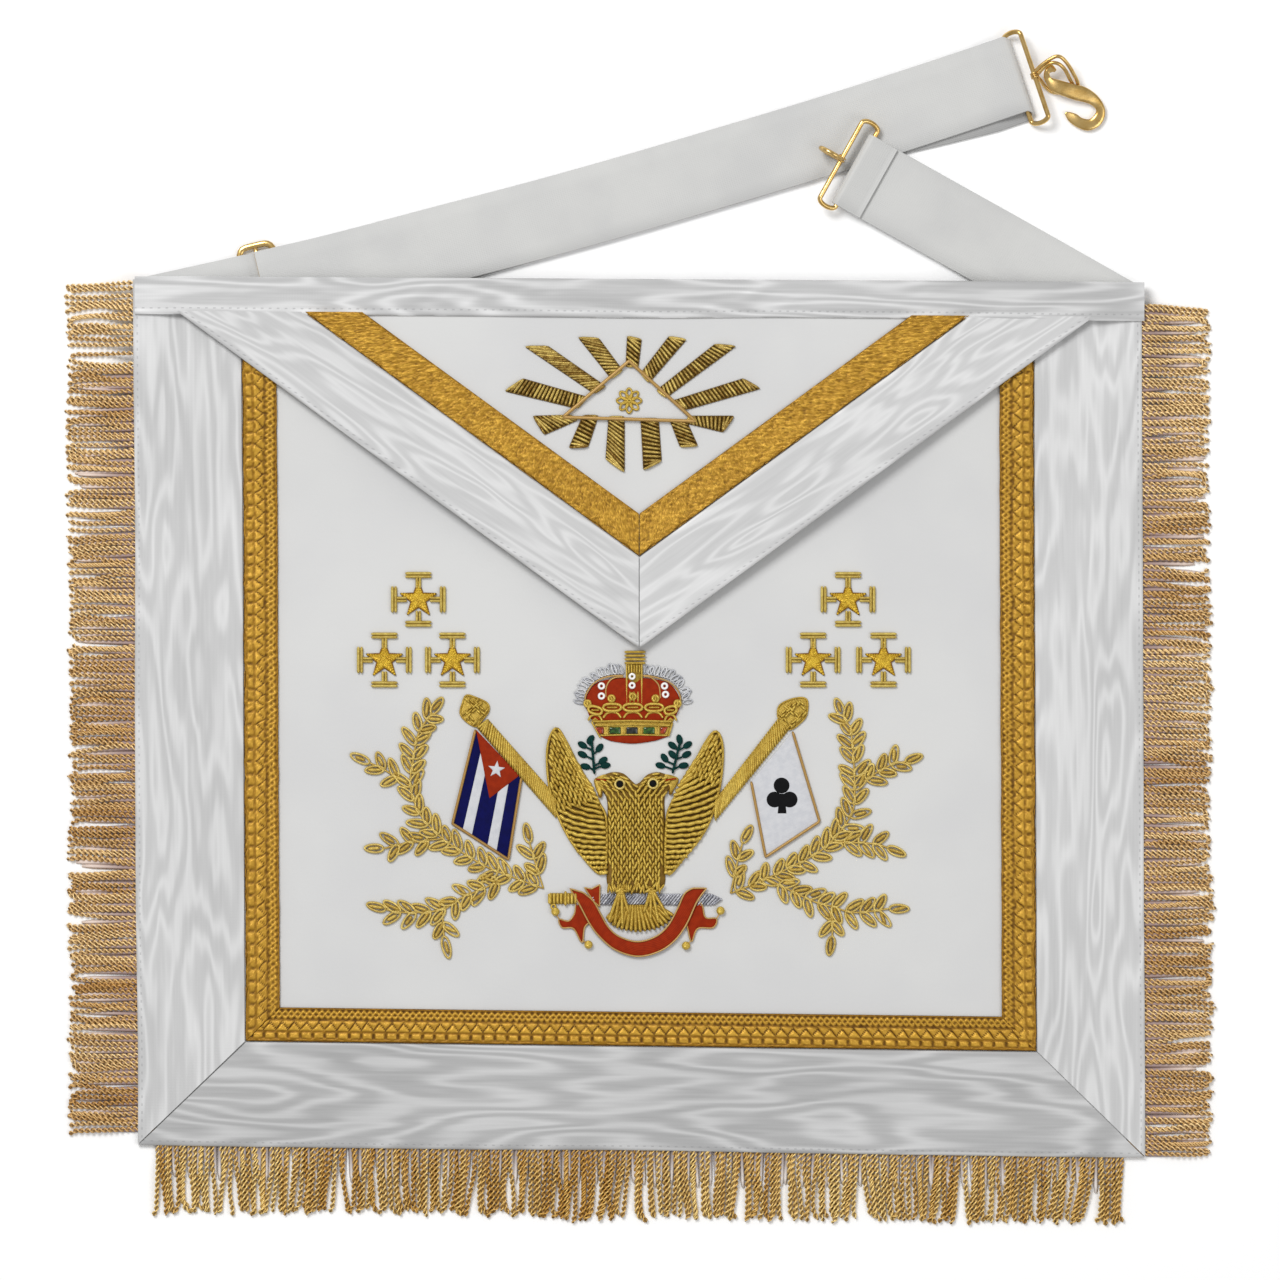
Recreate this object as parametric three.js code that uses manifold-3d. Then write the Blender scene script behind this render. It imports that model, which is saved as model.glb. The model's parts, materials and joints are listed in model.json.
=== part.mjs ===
import * as THREE from 'three';
import { mergeVertices } from 'three/addons/utils/BufferGeometryUtils.js';
import Module from 'manifold-3d';

// A white leather regalia apron lying on a table, seen from above.
// Millimetres. +X runs to the right, +Y towards the belt, +Z up from the table.
// The origin is the centre of the leather panel's flat back face.

// Apron outline
const apronWidth = 406;
const apronHeight = 351;
const sideLean = 0.0046; // the sides lean this much to the left for each millimetre up
const bottomTilt = 0.0128; // the lower edge drops this much for each millimetre to the right
const topTilt = 0.006;
const borderWidth = 43.5;
const bottomBorderWidth = 42;
const bandDepth = 15.5; // waistband, from the apron's top edge down
const braidWidth = 13.8;

// Flap
const flapDrop = 148;
const flapBorderWidth = 29.6;
const flapTipLift = 4; // underside of the flap's tip above the table
const flapTipWidth = 1.2;

// Thicknesses, and the space between pieces that lie on each other
const leather = 1.2;
const ribbonCloth = 0.9;
const braidCloth = 1.4;
const gap = 0.3;

// Belt of webbing
const webbing = 1.1;
const strapWidth = 31.5;
const beltInside = 7.143; // its sewn end from the left side and from the top edge
const beltBelow = 14.304;
const beltLength = 363;
const beltStartAngle = 12.5;
const beltEndAngle = 18.8;
const backLayerDrift = 1.6; // the back layer shows this much below the front one near the hook
const shortBeltInside = 11; // its sewn end from the right side and from the top edge
const shortBeltBelow = 15.2;
const shortBeltLength = 122.8;
const shortBeltAngle = 150.8;
const sewnFoldLength = 13;
const foldRamp = 16; // length over which a folded layer comes down from the wire

// Metal fittings
const wireRadius = 1;
const frameDepth = 8.5;
const frameOverhang = 4.3; // from the strap's edge to the frame's outer end, when it is centred
const frameSlack = 1.5; // from the strap's edge to where the wire starts to bend
const hookFrameTilt = 35;
const hookFrameShift = -1.1; // the frame has slipped this far along its fold
const hookKnotShift = -2.2; // the ring joins the free side this far from its middle
const hookRingRadius = 7.2;
const hookRingSlope = 12; // the ring falls away from the frame
const hookRingTilt = 40; // and leans to one side
const hookLength = 26;
const hookWidth = 3.6;
const hookThickness = 2.3;
const hookEyeRadius = 2.4;
const hookEyeAt = 235; // degrees round the ring from its outer end
const eyeFrameDepth = 8;
const eyeFrameTilt = 25;
const eyeFrameShift = -0.9;
const eyeKnotShift = -0.3;
const eyeRingRadius = 4.7;
const slideLength = 17.5;
const slideWidth = 39;
const slideThickness = 1.2;
const slideBar = 2.5;
const slideAlong = 37.5; // from the belt's sewn end to the slide's near edge

// Fringe
const headerWidth = 7;
const fringeLength = 27;
const lockWidth = 13;
const lockThickness = 1.8;
const lockSway = 0.16; // how far a lock's tip leans, as a share of its width
const lockUneven = 0.07; // how much longer or shorter a lock is, as a share of its length
const fringeSideTop = 1.2; // the left fringe starts this far below the apron's top edge
const fringeRightTop = 9;
const fringeSideBottom = 5;

// Embroidery. The emblem is drawn on a square chart centred on the panel.
const emblemWidth = 228.5;
const emblemSquares = 567;
const square = emblemWidth / emblemSquares;
const sunburstWidth = 102;
const sunburstSquares = 253;
const ray = sunburstWidth / sunburstSquares;
const sunburstDown = 0.34; // its centre below the top edge, as a share of the flap's drop
const sunburstAside = -0.0103; // as a share of the apron's width
const starCrossWidth = 25;
const purl = 1.1; // height of flat laid bullion
const padded = 2; // height of bullion over padding
const bodyPadding = 3;
const capHeight = 1.5;
const fleuronHeight = 0.9;
const softRim = 0.4; // slope round a padded motif

// Heights of the stack, from the table up
const beltStack = 2 * webbing + slideThickness + 2 * gap;
const topLift = beltStack + gap; // the panel's underside where it lies on the belt
const onLeather = leather + gap;
const underFlap = topLift + onLeather + braidCloth + gap;

const radians = THREE.MathUtils.degToRad;

// Lines of the apron's outline, moved inwards by an inset
const sideX = (side, inset, y) => side * (apronWidth / 2 - inset) - sideLean * y;
const lowY = (inset, x) => -apronHeight / 2 + inset - bottomTilt * x;
const topY = (inset, x) => apronHeight / 2 - inset - topTilt * x;

// The panel lies flat below liftStart and is fully raised above liftEnd, where the belt is under it.
const liftStart = 0.23 * apronHeight;
const liftEnd = 0.4 * apronHeight;
const lift = (y) => topLift * THREE.MathUtils.clamp((y - liftStart) / (liftEnd - liftStart), 0, 1);

// The flap rises evenly from its tip to the waistband.
const flapTipY = apronHeight / 2 - flapDrop;
const bandEdgeY = apronHeight / 2 - bandDepth;
const flapBraidY = apronHeight / 2 - (borderWidth + braidWidth) * (flapDrop / (apronWidth / 2));
const flapRise = (underFlap - flapTipLift) / (flapBraidY - flapTipY);
const flapUnder = (y) => flapTipLift + flapRise * (Math.min(y, bandEdgeY) - flapTipY);

const wasm = await Module();
wasm.setup();

// A closed geometry with its faces turned outwards, whichever way they were listed
function closedGeometry(positions, faces) {
  const corner = (index) => new THREE.Vector3().fromArray(positions, 3 * index);
  let volume = 0;
  for (let start = 0; start < faces.length; start += 3) {
    const [first, second, third] = [0, 1, 2].map((step) => corner(faces[start + step]));
    volume += first.dot(second.cross(third));
  }
  const geometry = new THREE.BufferGeometry();
  geometry.setAttribute('position', new THREE.Float32BufferAttribute(positions, 3));
  geometry.setIndex(volume > 0 ? faces : faces.slice().reverse());
  geometry.computeVertexNormals();
  return geometry;
}

// A sheet over rows of [x, y] points. under gives its lower face's height, and present says
// which cells of the grid are filled.
function sheet(grid, under, thickness, present = () => true) {
  const rows = grid.length;
  const columns = grid[0].length;
  const thick = typeof thickness === 'function' ? thickness : () => thickness;
  const positions = [];
  for (const layer of [0, 1]) {
    grid.forEach((row, j) => row.forEach(([x, y], i) => {
      positions.push(x, y, under(x, y, i, j) + layer * thick(i, j));
    }));
  }
  const at = (layer, i, j) => (layer * rows + j) * columns + i;
  const filled = (i, j) => i >= 0 && j >= 0 && i < columns - 1 && j < rows - 1 && present(i, j);
  const faces = [];
  const quad = (a, b, c, d) => faces.push(a, b, c, a, c, d);
  const wall = (a, b) => quad(at(0, ...a), at(0, ...b), at(1, ...b), at(1, ...a));
  for (let j = 0; j < rows - 1; j += 1) {
    for (let i = 0; i < columns - 1; i += 1) {
      if (!filled(i, j)) continue;
      quad(at(1, i, j), at(1, i + 1, j), at(1, i + 1, j + 1), at(1, i, j + 1));
      quad(at(0, i, j), at(0, i, j + 1), at(0, i + 1, j + 1), at(0, i + 1, j));
      if (!filled(i, j - 1)) wall([i, j], [i + 1, j]);
      if (!filled(i + 1, j)) wall([i + 1, j], [i + 1, j + 1]);
      if (!filled(i, j + 1)) wall([i + 1, j + 1], [i, j + 1]);
      if (!filled(i - 1, j)) wall([i, j + 1], [i, j]);
    }
  }
  return closedGeometry(positions, faces);
}

// A skin over rings of points, closed by fans at both ends, or joined into a loop
function loft(rings, looped = false) {
  const sides = rings[0].length;
  const positions = rings.flatMap((ring) => ring.flatMap((point) => point.toArray()));
  const faces = [];
  const last = looped ? rings.length : rings.length - 1;
  for (let k = 0; k < last; k += 1) {
    const here = k * sides;
    const next = ((k + 1) % rings.length) * sides;
    for (let i = 0; i < sides; i += 1) {
      const j = (i + 1) % sides;
      faces.push(here + i, here + j, next + j, here + i, next + j, next + i);
    }
  }
  const end = (rings.length - 1) * sides;
  for (let i = 1; !looped && i < sides - 1; i += 1) {
    faces.push(0, i + 1, i, end, end + i, end + i + 1);
  }
  return closedGeometry(positions, faces);
}

function solidOf(geometry) {
  const bare = geometry.clone();
  bare.deleteAttribute('normal');
  bare.deleteAttribute('uv');
  const merged = mergeVertices(bare, 1e-4);
  return new wasm.Manifold(new wasm.Mesh({
    numProp: 3,
    vertProperties: new Float32Array(merged.attributes.position.array),
    triVerts: new Uint32Array(merged.index.array),
  }));
}

function geometryOf(solid) {
  const mesh = solid.getMesh();
  const geometry = new THREE.BufferGeometry();
  geometry.setAttribute('position', new THREE.BufferAttribute(mesh.vertProperties, 3));
  geometry.setIndex(new THREE.BufferAttribute(mesh.triVerts, 1));
  geometry.computeVertexNormals();
  return geometry;
}

const fused = (shapes) => geometryOf(shapes.map(solidOf).reduce((whole, next) => whole.add(next)));
const cutBy = (shape, cutters) => geometryOf(
  cutters.map(solidOf).reduce((whole, cutter) => whole.subtract(cutter), solidOf(shape)),
);

// A raised shape on the leather: an outline in chart units, its foot, its height and its soft rim
function relief(outline, unit, foot, height, rim = 0) {
  const shape = new THREE.Shape(outline.map(([x, y]) => new THREE.Vector2(x * unit, y * unit)));
  const geometry = new THREE.ExtrudeGeometry(shape, {
    depth: height - 2 * rim,
    bevelEnabled: rim > 0,
    bevelThickness: rim,
    bevelSize: rim,
    bevelOffset: -rim,
    bevelSegments: 1,
    curveSegments: 4,
  });
  return geometry.translate(0, 0, foot + rim);
}

// The same outline pushed outwards by a distance in chart units
function outset(outline, distance) {
  const area = THREE.ShapeUtils.area(outline.map(([x, y]) => new THREE.Vector2(x, y)));
  return outline.map(([x, y], index) => {
    const before = outline.at(index - 1);
    const after = outline[(index + 1) % outline.length];
    const along = new THREE.Vector2(after[0] - before[0], after[1] - before[1]).normalize();
    const turn = Math.sign(area) * distance * 1.4;
    return [x + along.y * turn, y - along.x * turn];
  });
}

// The room that a raised shape needs round it
const roomFor = (outline, height) => relief(
  outset(outline, gap / square), square, 0, onLeather + height + gap,
);

const bar = (from, to, width) => {
  const along = new THREE.Vector2(to[0] - from[0], to[1] - from[1]).normalize();
  const [dx, dy] = [(-along.y * width) / 2, (along.x * width) / 2];
  return [[from[0] - dx, from[1] - dy], [to[0] - dx, to[1] - dy],
    [to[0] + dx, to[1] + dy], [from[0] + dx, from[1] + dy]];
};

const mirrored = (outline, about) => outline.map(([x, y]) => [2 * about - x, y]).reverse();

// Finishes
const finish = (color, roughness, metalness = 0) => new THREE.MeshStandardMaterial({
  color, roughness, metalness,
});
const whiteLeather = finish(0xdededd, 0.5);
const moireRibbon = finish(0xd2d3d4, 0.4);
const goldBraid = finish(0xc8962f, 0.45, 0.3);
const greyWebbing = finish(0xcecece, 0.8);
const polishedGold = finish(0xc8a050, 0.2, 1);
const goldFringe = finish(0xcda068, 0.5, 0.2);
const goldBullion = finish(0xb08c34, 0.4, 0.6);
const starGold = finish(0xe1aa2d, 0.35, 0.7);
const redSatin = finish(0x96280a, 0.5);
const greenSilk = finish(0x0a463c, 0.6);
const flagSatin = finish(0x6070a8, 0.5);
const whiteSatin = finish(0xe8e8e6, 0.5);
const silverWire = finish(0xc8c8cc, 0.3, 0.8);

const apron = new THREE.Group();

function add(name, geometry, material) {
  const mesh = new THREE.Mesh(geometry, material);
  mesh.name = name;
  apron.add(mesh);
  return mesh;
}

// Rows of an upright strip between two insets of one side, with a row at each bend of the lift
function uprightRows(side, outer, inner, lowOuter, lowInner, high) {
  const foot = (inset, low) => {
    const x = sideX(side, inset, -apronHeight / 2);
    return [x, lowY(low, x)];
  };
  const level = (y) => [[sideX(side, outer, y), y], [sideX(side, inner, y), y]];
  const head = [outer, inner].map((inset) => {
    const x = sideX(side, inset, apronHeight / 2);
    return [x, topY(high, x)];
  });
  return [[foot(outer, lowOuter), foot(inner, lowInner)], level(liftStart), level(liftEnd), head];
}

function addGround() {
  const inset = headerWidth + gap;
  const left = uprightRows(-1, inset, inset, inset, inset, ribbonCloth + gap);
  const right = uprightRows(1, inset, inset, inset, inset, ribbonCloth + gap);
  const grid = left.map((row, j) => [row[0], right[j][1]]);
  add('ground_panel', sheet(grid, (x, y) => lift(y), leather), whiteLeather);
}

// Ribbon borders and gold braids run round three sides and meet at mitres.
function addFrameStrips(name, outer, width, lowOuter, lowWidth, thickness, high, material) {
  const under = (x, y) => lift(y) + onLeather;
  for (const [side, label] of [[-1, 'left'], [1, 'right']]) {
    const rows = uprightRows(side, outer, outer + width, lowOuter + gap, lowOuter + lowWidth + gap, high);
    add(`${name}_${label}`, sheet(rows, under, thickness), material);
  }
  const lowRow = (inset, low) => [-1, 1].map((side) => {
    const x = sideX(side, inset + gap, -apronHeight / 2);
    return [x, lowY(low, x)];
  });
  const grid = [lowRow(outer, lowOuter), lowRow(outer + width, lowOuter + lowWidth)];
  add(`${name}_bottom`, sheet(grid, under, thickness), material);
}

function addBordersAndBraids() {
  addFrameStrips('border', 0, borderWidth, 0, bottomBorderWidth, ribbonCloth,
    ribbonCloth + gap, moireRibbon);
  addFrameStrips('braid', borderWidth + gap, braidWidth, bottomBorderWidth + gap, braidWidth,
    braidCloth, 2 * bandDepth, goldBraid);
}

// The waistband is a ribbon over the front and folded down over the top edge.
function addWaistband() {
  const bottom = flapUnder(bandEdgeY) + leather + gap;
  const section = (side) => {
    const x = side * (apronWidth / 2);
    const profile = [
      [ribbonCloth, bottom], [ribbonCloth, topLift], [0, topLift],
      [0, bottom + ribbonCloth], [bandDepth, bottom + ribbonCloth], [bandDepth, bottom],
    ];
    return profile.map(([down, z]) => new THREE.Vector3(x, topY(down, x), z));
  };
  add('waistband', loft([section(-1), section(1)]), moireRibbon);
}

// The flap: leather, then a ribbon border and a gold braid along each slanting edge
function addFlap() {
  const slope = flapDrop / (apronWidth / 2);
  const across = Math.hypot(1, slope) / slope; // horizontal run of a strip one millimetre wide
  const tipX = -sideLean * flapTipY;
  const edgeX = (side, inset, y) => tipX
    + side * (flapTipWidth / 2 + (y - flapTipY) / slope - inset * across);
  const edgeLowY = (inset) => flapTipY + (inset * across - flapTipWidth / 2) * slope;
  const topInside = ribbonCloth + gap;
  const highX = (side) => edgeX(side, gap * 2, bandEdgeY);
  const grid = [flapTipY, bandEdgeY].map((y) => [-1, 1].map((side) => [edgeX(side, 0, y), y]));
  grid.push([-1, 1].map((side) => [highX(side), topY(topInside, highX(side))]));
  add('flap_panel', sheet(grid, (x, y) => flapUnder(y), leather), whiteLeather);

  const edges = (side, outer, inner) => {
    const seam = tipX + side * (gap / 2);
    const high = (inset) => {
      const x = edgeX(side, inset, bandEdgeY);
      return [x, topY(bandDepth + gap, x)];
    };
    return [[[seam, Math.max(edgeLowY(outer), flapTipY)], [seam, edgeLowY(inner)]],
      [high(outer), high(inner)]];
  };
  const under = (x, y) => flapUnder(y) + onLeather;
  for (const [side, label] of [[-1, 'left'], [1, 'right']]) {
    add(`flap_border_${label}`, sheet(edges(side, 0, flapBorderWidth), under, ribbonCloth), moireRibbon);
    const braidRows = edges(side, flapBorderWidth + gap, flapBorderWidth + gap + braidWidth);
    add(`flap_braid_${label}`, sheet(braidRows, under, braidCloth), goldBraid);
  }
}

// Down a lock: the header tape, the apron's edge, a row below it and the tip, each with its
// share of the length, of the narrowing, of the lift over the belt and of the thickness
const lockRows = [
  { reach: 0, narrow: 0, raised: 1, thick: leather },
  { reach: 0, narrow: 0.02, raised: 1, thick: leather },
  { reach: 0.45, narrow: 0.1, raised: 0.4, thick: lockThickness },
  { reach: 1, narrow: 0.2, raised: 0, thick: 0.6 * lockThickness },
];
const lockSlit = 0.02; // half the slit between two locks, as a share of a lock's width

// One fringe: a header tape under the border's edge and locks of cord that leave it.
// edge gives the apron's outline at a distance along it and outwards; the locks lean a little.
function fringe(length, edge, seed) {
  const locks = Math.max(4, Math.round(length / lockWidth));
  const sway = (lock, salt) => Math.sin(seed + salt + 2.4 * lock + Math.sin(1.7 * lock));
  const grid = lockRows.map(({ reach, narrow }, j) => {
    const row = [];
    for (let lock = 0; lock < locks; lock += 1) {
      const lean = lockSway * sway(lock, 0) * reach;
      const tip = fringeLength * reach * (reach < 1 ? 1 : 1 + lockUneven * sway(lock, 5));
      const inside = j === 0 ? 0 : narrow + lockSlit;
      for (const end of [0, 1]) {
        const atEdge = lock + end + lean + (end ? -inside : inside);
        row.push(edge((atEdge / locks) * length, j === 0 ? -headerWidth : tip));
      }
    }
    return row;
  });
  const present = (i, j) => j === 0 || i % 2 === 0;
  return { grid, present };
}

function addFringes() {
  const thickness = (i, j) => lockRows[j].thick;
  const sideEdge = (side, start) => (along, out) => {
    const y = start - along;
    return [sideX(side, -out, y), y];
  };
  const leftTop = topY(fringeSideTop, -apronWidth / 2);
  const rightTop = topY(fringeRightTop, apronWidth / 2);
  const leftEnd = lowY(fringeSideBottom, -apronWidth / 2);
  const rightEnd = lowY(gap, apronWidth / 2);
  const under = (x, y, i, j) => lift(y) * lockRows[j].raised;
  for (const [name, side, from, to, seed] of [
    ['fringe_left', -1, leftTop, leftEnd, 1],
    ['fringe_right', 1, rightTop, rightEnd, 2.2],
  ]) {
    const { grid, present } = fringe(from - to, sideEdge(side, from), seed);
    add(name, sheet(grid, under, thickness, present), goldFringe);
  }
  const start = -apronWidth / 2 + headerWidth + 2 * gap;
  const length = apronWidth - 2 * headerWidth - 4 * gap;
  const lowEdge = (along, out) => {
    const x = start + along - sideLean * lowY(0, 0);
    return [x, lowY(-out, x)];
  };
  const { grid, present } = fringe(length, lowEdge, 3.1);
  add('fringe_bottom', sheet(grid, under, thickness, present), goldFringe);
}

// A strap's course in plan: a point and its direction at a distance along it
const straightCourse = ([x, y], angle) => (along) => ({
  point: new THREE.Vector3(x + along * Math.cos(angle), y + along * Math.sin(angle), 0),
  heading: new THREE.Vector3(Math.cos(angle), Math.sin(angle), 0),
});

const arcCourse = ([x, y], length, startAngle, endAngle) => (along) => {
  const angle = startAngle + ((endAngle - startAngle) * along) / length;
  const radius = length / (endAngle - startAngle);
  return {
    point: new THREE.Vector3(
      x + radius * (Math.sin(angle) - Math.sin(startAngle)),
      y - radius * (Math.cos(angle) - Math.cos(startAngle)),
      0,
    ),
    heading: new THREE.Vector3(Math.cos(angle), Math.sin(angle), 0),
  };
};

const longCourse = arcCourse(
  [beltInside - apronWidth / 2, apronHeight / 2 - beltBelow],
  beltLength,
  radians(beltStartAngle),
  radians(beltEndAngle),
);
const shortCourse = straightCourse(
  [apronWidth / 2 - shortBeltInside, apronHeight / 2 - shortBeltBelow],
  radians(shortBeltAngle),
);
const loopRadius = wireRadius + gap + webbing / 2; // middle of the webbing round the wire

// A strap of webbing along stations of {along, height, pitch, drift}. pitch is the angle of its
// travel above the table, so 180 is travel back over itself.
function strap(course, stations) {
  return loft(stations.map(({ along, height, pitch = 0, drift = 0 }) => {
    const { point, heading } = course(along);
    const across = new THREE.Vector3(-heading.y, heading.x, 0);
    const slant = radians(pitch);
    const up = heading.clone().multiplyScalar(-Math.sin(slant));
    up.z += Math.cos(slant);
    const middle = point.clone().setZ(height).addScaledVector(across, drift);
    return [[-1, -1], [1, -1], [1, 1], [-1, 1]].map(([side, face]) => middle.clone()
      .addScaledVector(across, (side * strapWidth) / 2)
      .addScaledVector(up, (face * webbing) / 2));
  }));
}

// The stations of a fold round a wire whose axis is at a height, from the lower layer to the upper
const foldRound = (end, axisHeight, drift = 0) => [0, 36, 72, 108, 144, 180].map((pitch) => ({
  along: end - loopRadius - webbing / 2 + loopRadius * Math.sin(radians(pitch)),
  height: axisHeight - loopRadius * Math.cos(radians(pitch)),
  pitch,
  drift: drift * (1 - pitch / 180),
}));

const longAxisHeight = loopRadius + webbing / 2;
const shortFloor = 2 * webbing + 2 * gap;
const shortAxisHeight = shortFloor + longAxisHeight;

function addBelts() {
  const low = webbing / 2;
  const raised = topLift - gap - webbing / 2; // sewn against the panel's back, over the slide
  const upper = webbing * 1.5 + gap;
  const firstBar = slideAlong;
  const middleBar = slideAlong + (slideLength - slideBar) / 2;
  const lastBarEnd = slideAlong + slideLength;
  const foldStart = beltLength - foldRamp;
  add('belt_long', strap(longCourse, [
    { along: 0, height: raised },
    { along: firstBar - slideBar, height: raised },
    { along: firstBar + slideBar + 0.6, height: raised, pitch: -12 },
    { along: middleBar - 0.6, height: low, pitch: -12 },
    { along: middleBar + 6, height: low },
    { along: 0.4 * beltLength, height: low },
    { along: 0.6 * beltLength, height: low },
    { along: 0.8 * beltLength, height: low, drift: -0.3 * backLayerDrift },
    { along: foldStart, height: low, drift: -backLayerDrift },
    ...foldRound(beltLength, longAxisHeight, -backLayerDrift),
    { along: foldStart + 0.6 * foldRamp, height: 2 * longAxisHeight - low - 0.3, pitch: 187 },
    { along: foldStart, height: upper, pitch: 184 },
    { along: 0.8 * beltLength, height: upper, pitch: 180 },
    { along: 0.6 * beltLength, height: upper, pitch: 180 },
    { along: 0.4 * beltLength, height: upper, pitch: 180 },
    { along: lastBarEnd + 10, height: upper, pitch: 180 },
    { along: lastBarEnd + 0.8, height: raised, pitch: 180 },
    { along: middleBar + 0.4, height: raised, pitch: 180 },
  ]), greyWebbing);

  const sewnFrom = shortBeltLength - sewnFoldLength;
  const laid = shortFloor + low;
  add('belt_short', strap(shortCourse, [
    { along: 0, height: raised },
    { along: 0.2 * shortBeltLength, height: raised },
    { along: 0.4 * shortBeltLength, height: 0.55 * raised },
    { along: 0.6 * shortBeltLength, height: 0.55 * laid },
    { along: 0.8 * shortBeltLength, height: laid },
    { along: shortBeltLength - foldRamp / 2, height: laid },
    ...foldRound(shortBeltLength, shortAxisHeight),
    { along: shortBeltLength - 0.45 * sewnFoldLength, height: shortAxisHeight + 1, pitch: 197 },
    { along: sewnFrom + 2, height: laid + webbing + gap, pitch: 186 },
    { along: sewnFrom, height: laid + webbing + gap, pitch: 180 },
  ]), greyWebbing);
}

// The slide is a flat metal loop with a middle bar; the belt passes over its first bar.
function addSlide() {
  const { point, heading } = longCourse(slideAlong + slideLength / 2);
  const [halfLength, halfWidth, corner] = [slideLength / 2, slideWidth / 2, slideBar];
  const quarter = [[halfLength, halfWidth - corner], [halfLength - corner, halfWidth]];
  const half = [...quarter, ...mirrored(quarter, 0)];
  const outline = [...half, ...half.map(([x, y]) => [-x, -y])];
  const slot = (slideLength - 3 * slideBar) / 2;
  const slots = [-1, 1].map((side) => {
    const box = new THREE.BoxGeometry(slot, strapWidth + 8 * gap, 3 * slideThickness);
    return box.translate((side * (slideBar + slot)) / 2, 0, slideThickness / 2);
  });
  const slide = add('belt_slide', cutBy(relief(outline, 1, 0, slideThickness), slots), polishedGold);
  slide.rotation.z = Math.atan2(heading.y, heading.x);
  slide.position.copy(point).setZ(webbing + gap);
}

// A round wire along points in one plane that close on themselves
function wireLoop(points, planeNormal, radius, sides = 8) {
  const rings = points.map((point, index) => {
    const along = points[(index + 1) % points.length].clone().sub(points.at(index - 1)).normalize();
    const outward = planeNormal.clone().cross(along);
    return Array.from({ length: sides }, (_, side) => {
      const angle = (2 * Math.PI * side) / sides;
      return point.clone()
        .addScaledVector(outward, radius * Math.cos(angle))
        .addScaledVector(planeNormal, radius * Math.sin(angle));
    });
  });
  return loft(rings, true);
}

// The plan direction, the wire's line in the strap's fold and the upward tilt of a frame
function frameSetting(course, length, axisHeight, tilt, shift) {
  const { point, heading } = course(length - loopRadius - webbing / 2);
  const across = new THREE.Vector3(-heading.y, heading.x, 0);
  const outward = heading.clone().multiplyScalar(Math.cos(radians(tilt)));
  outward.z = Math.sin(radians(tilt));
  const centre = point.clone().setZ(axisHeight).addScaledVector(across, shift);
  return { centre, heading, across, outward };
}

// A wire frame: a straight bar in the fold, round ends and a free side
function frameWire({ centre, across, outward }, depth, knotShift) {
  const halfBar = strapWidth / 2 + frameSlack;
  const reach = frameOverhang - frameSlack - wireRadius;
  const place = (a, d) => centre.clone().addScaledVector(across, a).addScaledVector(outward, d);
  const ends = [];
  for (let step = 0; step <= 6; step += 1) {
    const angle = (Math.PI * step) / 6 - Math.PI / 2;
    ends.push([halfBar + reach * Math.cos(angle), (depth / 2) * (1 + Math.sin(angle))]);
  }
  const points = ends.map(([a, d]) => place(a, d));
  points.push(place(knotShift, depth));
  points.push(...ends.slice().reverse().map(([a, d]) => place(-a, d)));
  points.push(place(0, 0));
  return wireLoop(points, across.clone().cross(outward), wireRadius);
}

function ringWire(centre, first, second, radius) {
  const points = Array.from({ length: 16 }, (_, step) => {
    const angle = (2 * Math.PI * step) / 16;
    return centre.clone()
      .addScaledVector(first, radius * Math.cos(angle))
      .addScaledVector(second, radius * Math.sin(angle));
  });
  return wireLoop(points, first.clone().cross(second), wireRadius, 6);
}

const hookSetting = frameSetting(
  longCourse,
  beltLength,
  longAxisHeight,
  hookFrameTilt,
  hookFrameShift,
);
const eyeSetting = frameSetting(
  shortCourse,
  shortBeltLength,
  shortAxisHeight,
  eyeFrameTilt,
  eyeFrameShift,
);

const knotOf = ({ centre, across, outward }, depth, shift) => centre.clone()
  .addScaledVector(outward, depth).addScaledVector(across, shift);

// The hook's ring hangs from the frame's free side, slopes down and leans over.
const ringAlong = hookSetting.heading.clone().multiplyScalar(Math.cos(radians(hookRingSlope)))
  .setZ(-Math.sin(radians(hookRingSlope)));
const ringUp = hookSetting.across.clone().multiplyScalar(Math.cos(radians(hookRingTilt)))
  .addScaledVector(ringAlong.clone().cross(hookSetting.across), Math.sin(radians(hookRingTilt)));
const ringCentre = knotOf(hookSetting, frameDepth, hookKnotShift)
  .addScaledVector(ringAlong, hookRingRadius);

function addHookFrame() {
  const ring = ringWire(ringCentre, ringAlong, ringUp, hookRingRadius);
  const frame = frameWire(hookSetting, frameDepth, hookKnotShift);
  add('hook_frame', fused([frame, ring]), polishedGold);
}

// The snake hook: an eye bent round the ring's wire, a body that lies over the ring, and a bowl
const hookCourse = [
  { along: 0.21, across: -0.24, height: 4.3 },
  { along: 0.46, across: -0.315, height: 3.6 },
  { along: 0.65, across: -0.41, height: 2.7 },
  { along: 0.75, across: -0.55, height: 1.9 },
  { along: 0.72, across: -0.7, height: 1.5 },
  { along: 0.585, across: -0.8, height: 1.4 },
  { along: 0.4, across: -0.77, height: 1.4 },
  { along: 0.21, across: -0.64, height: 1.4 },
];

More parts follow.
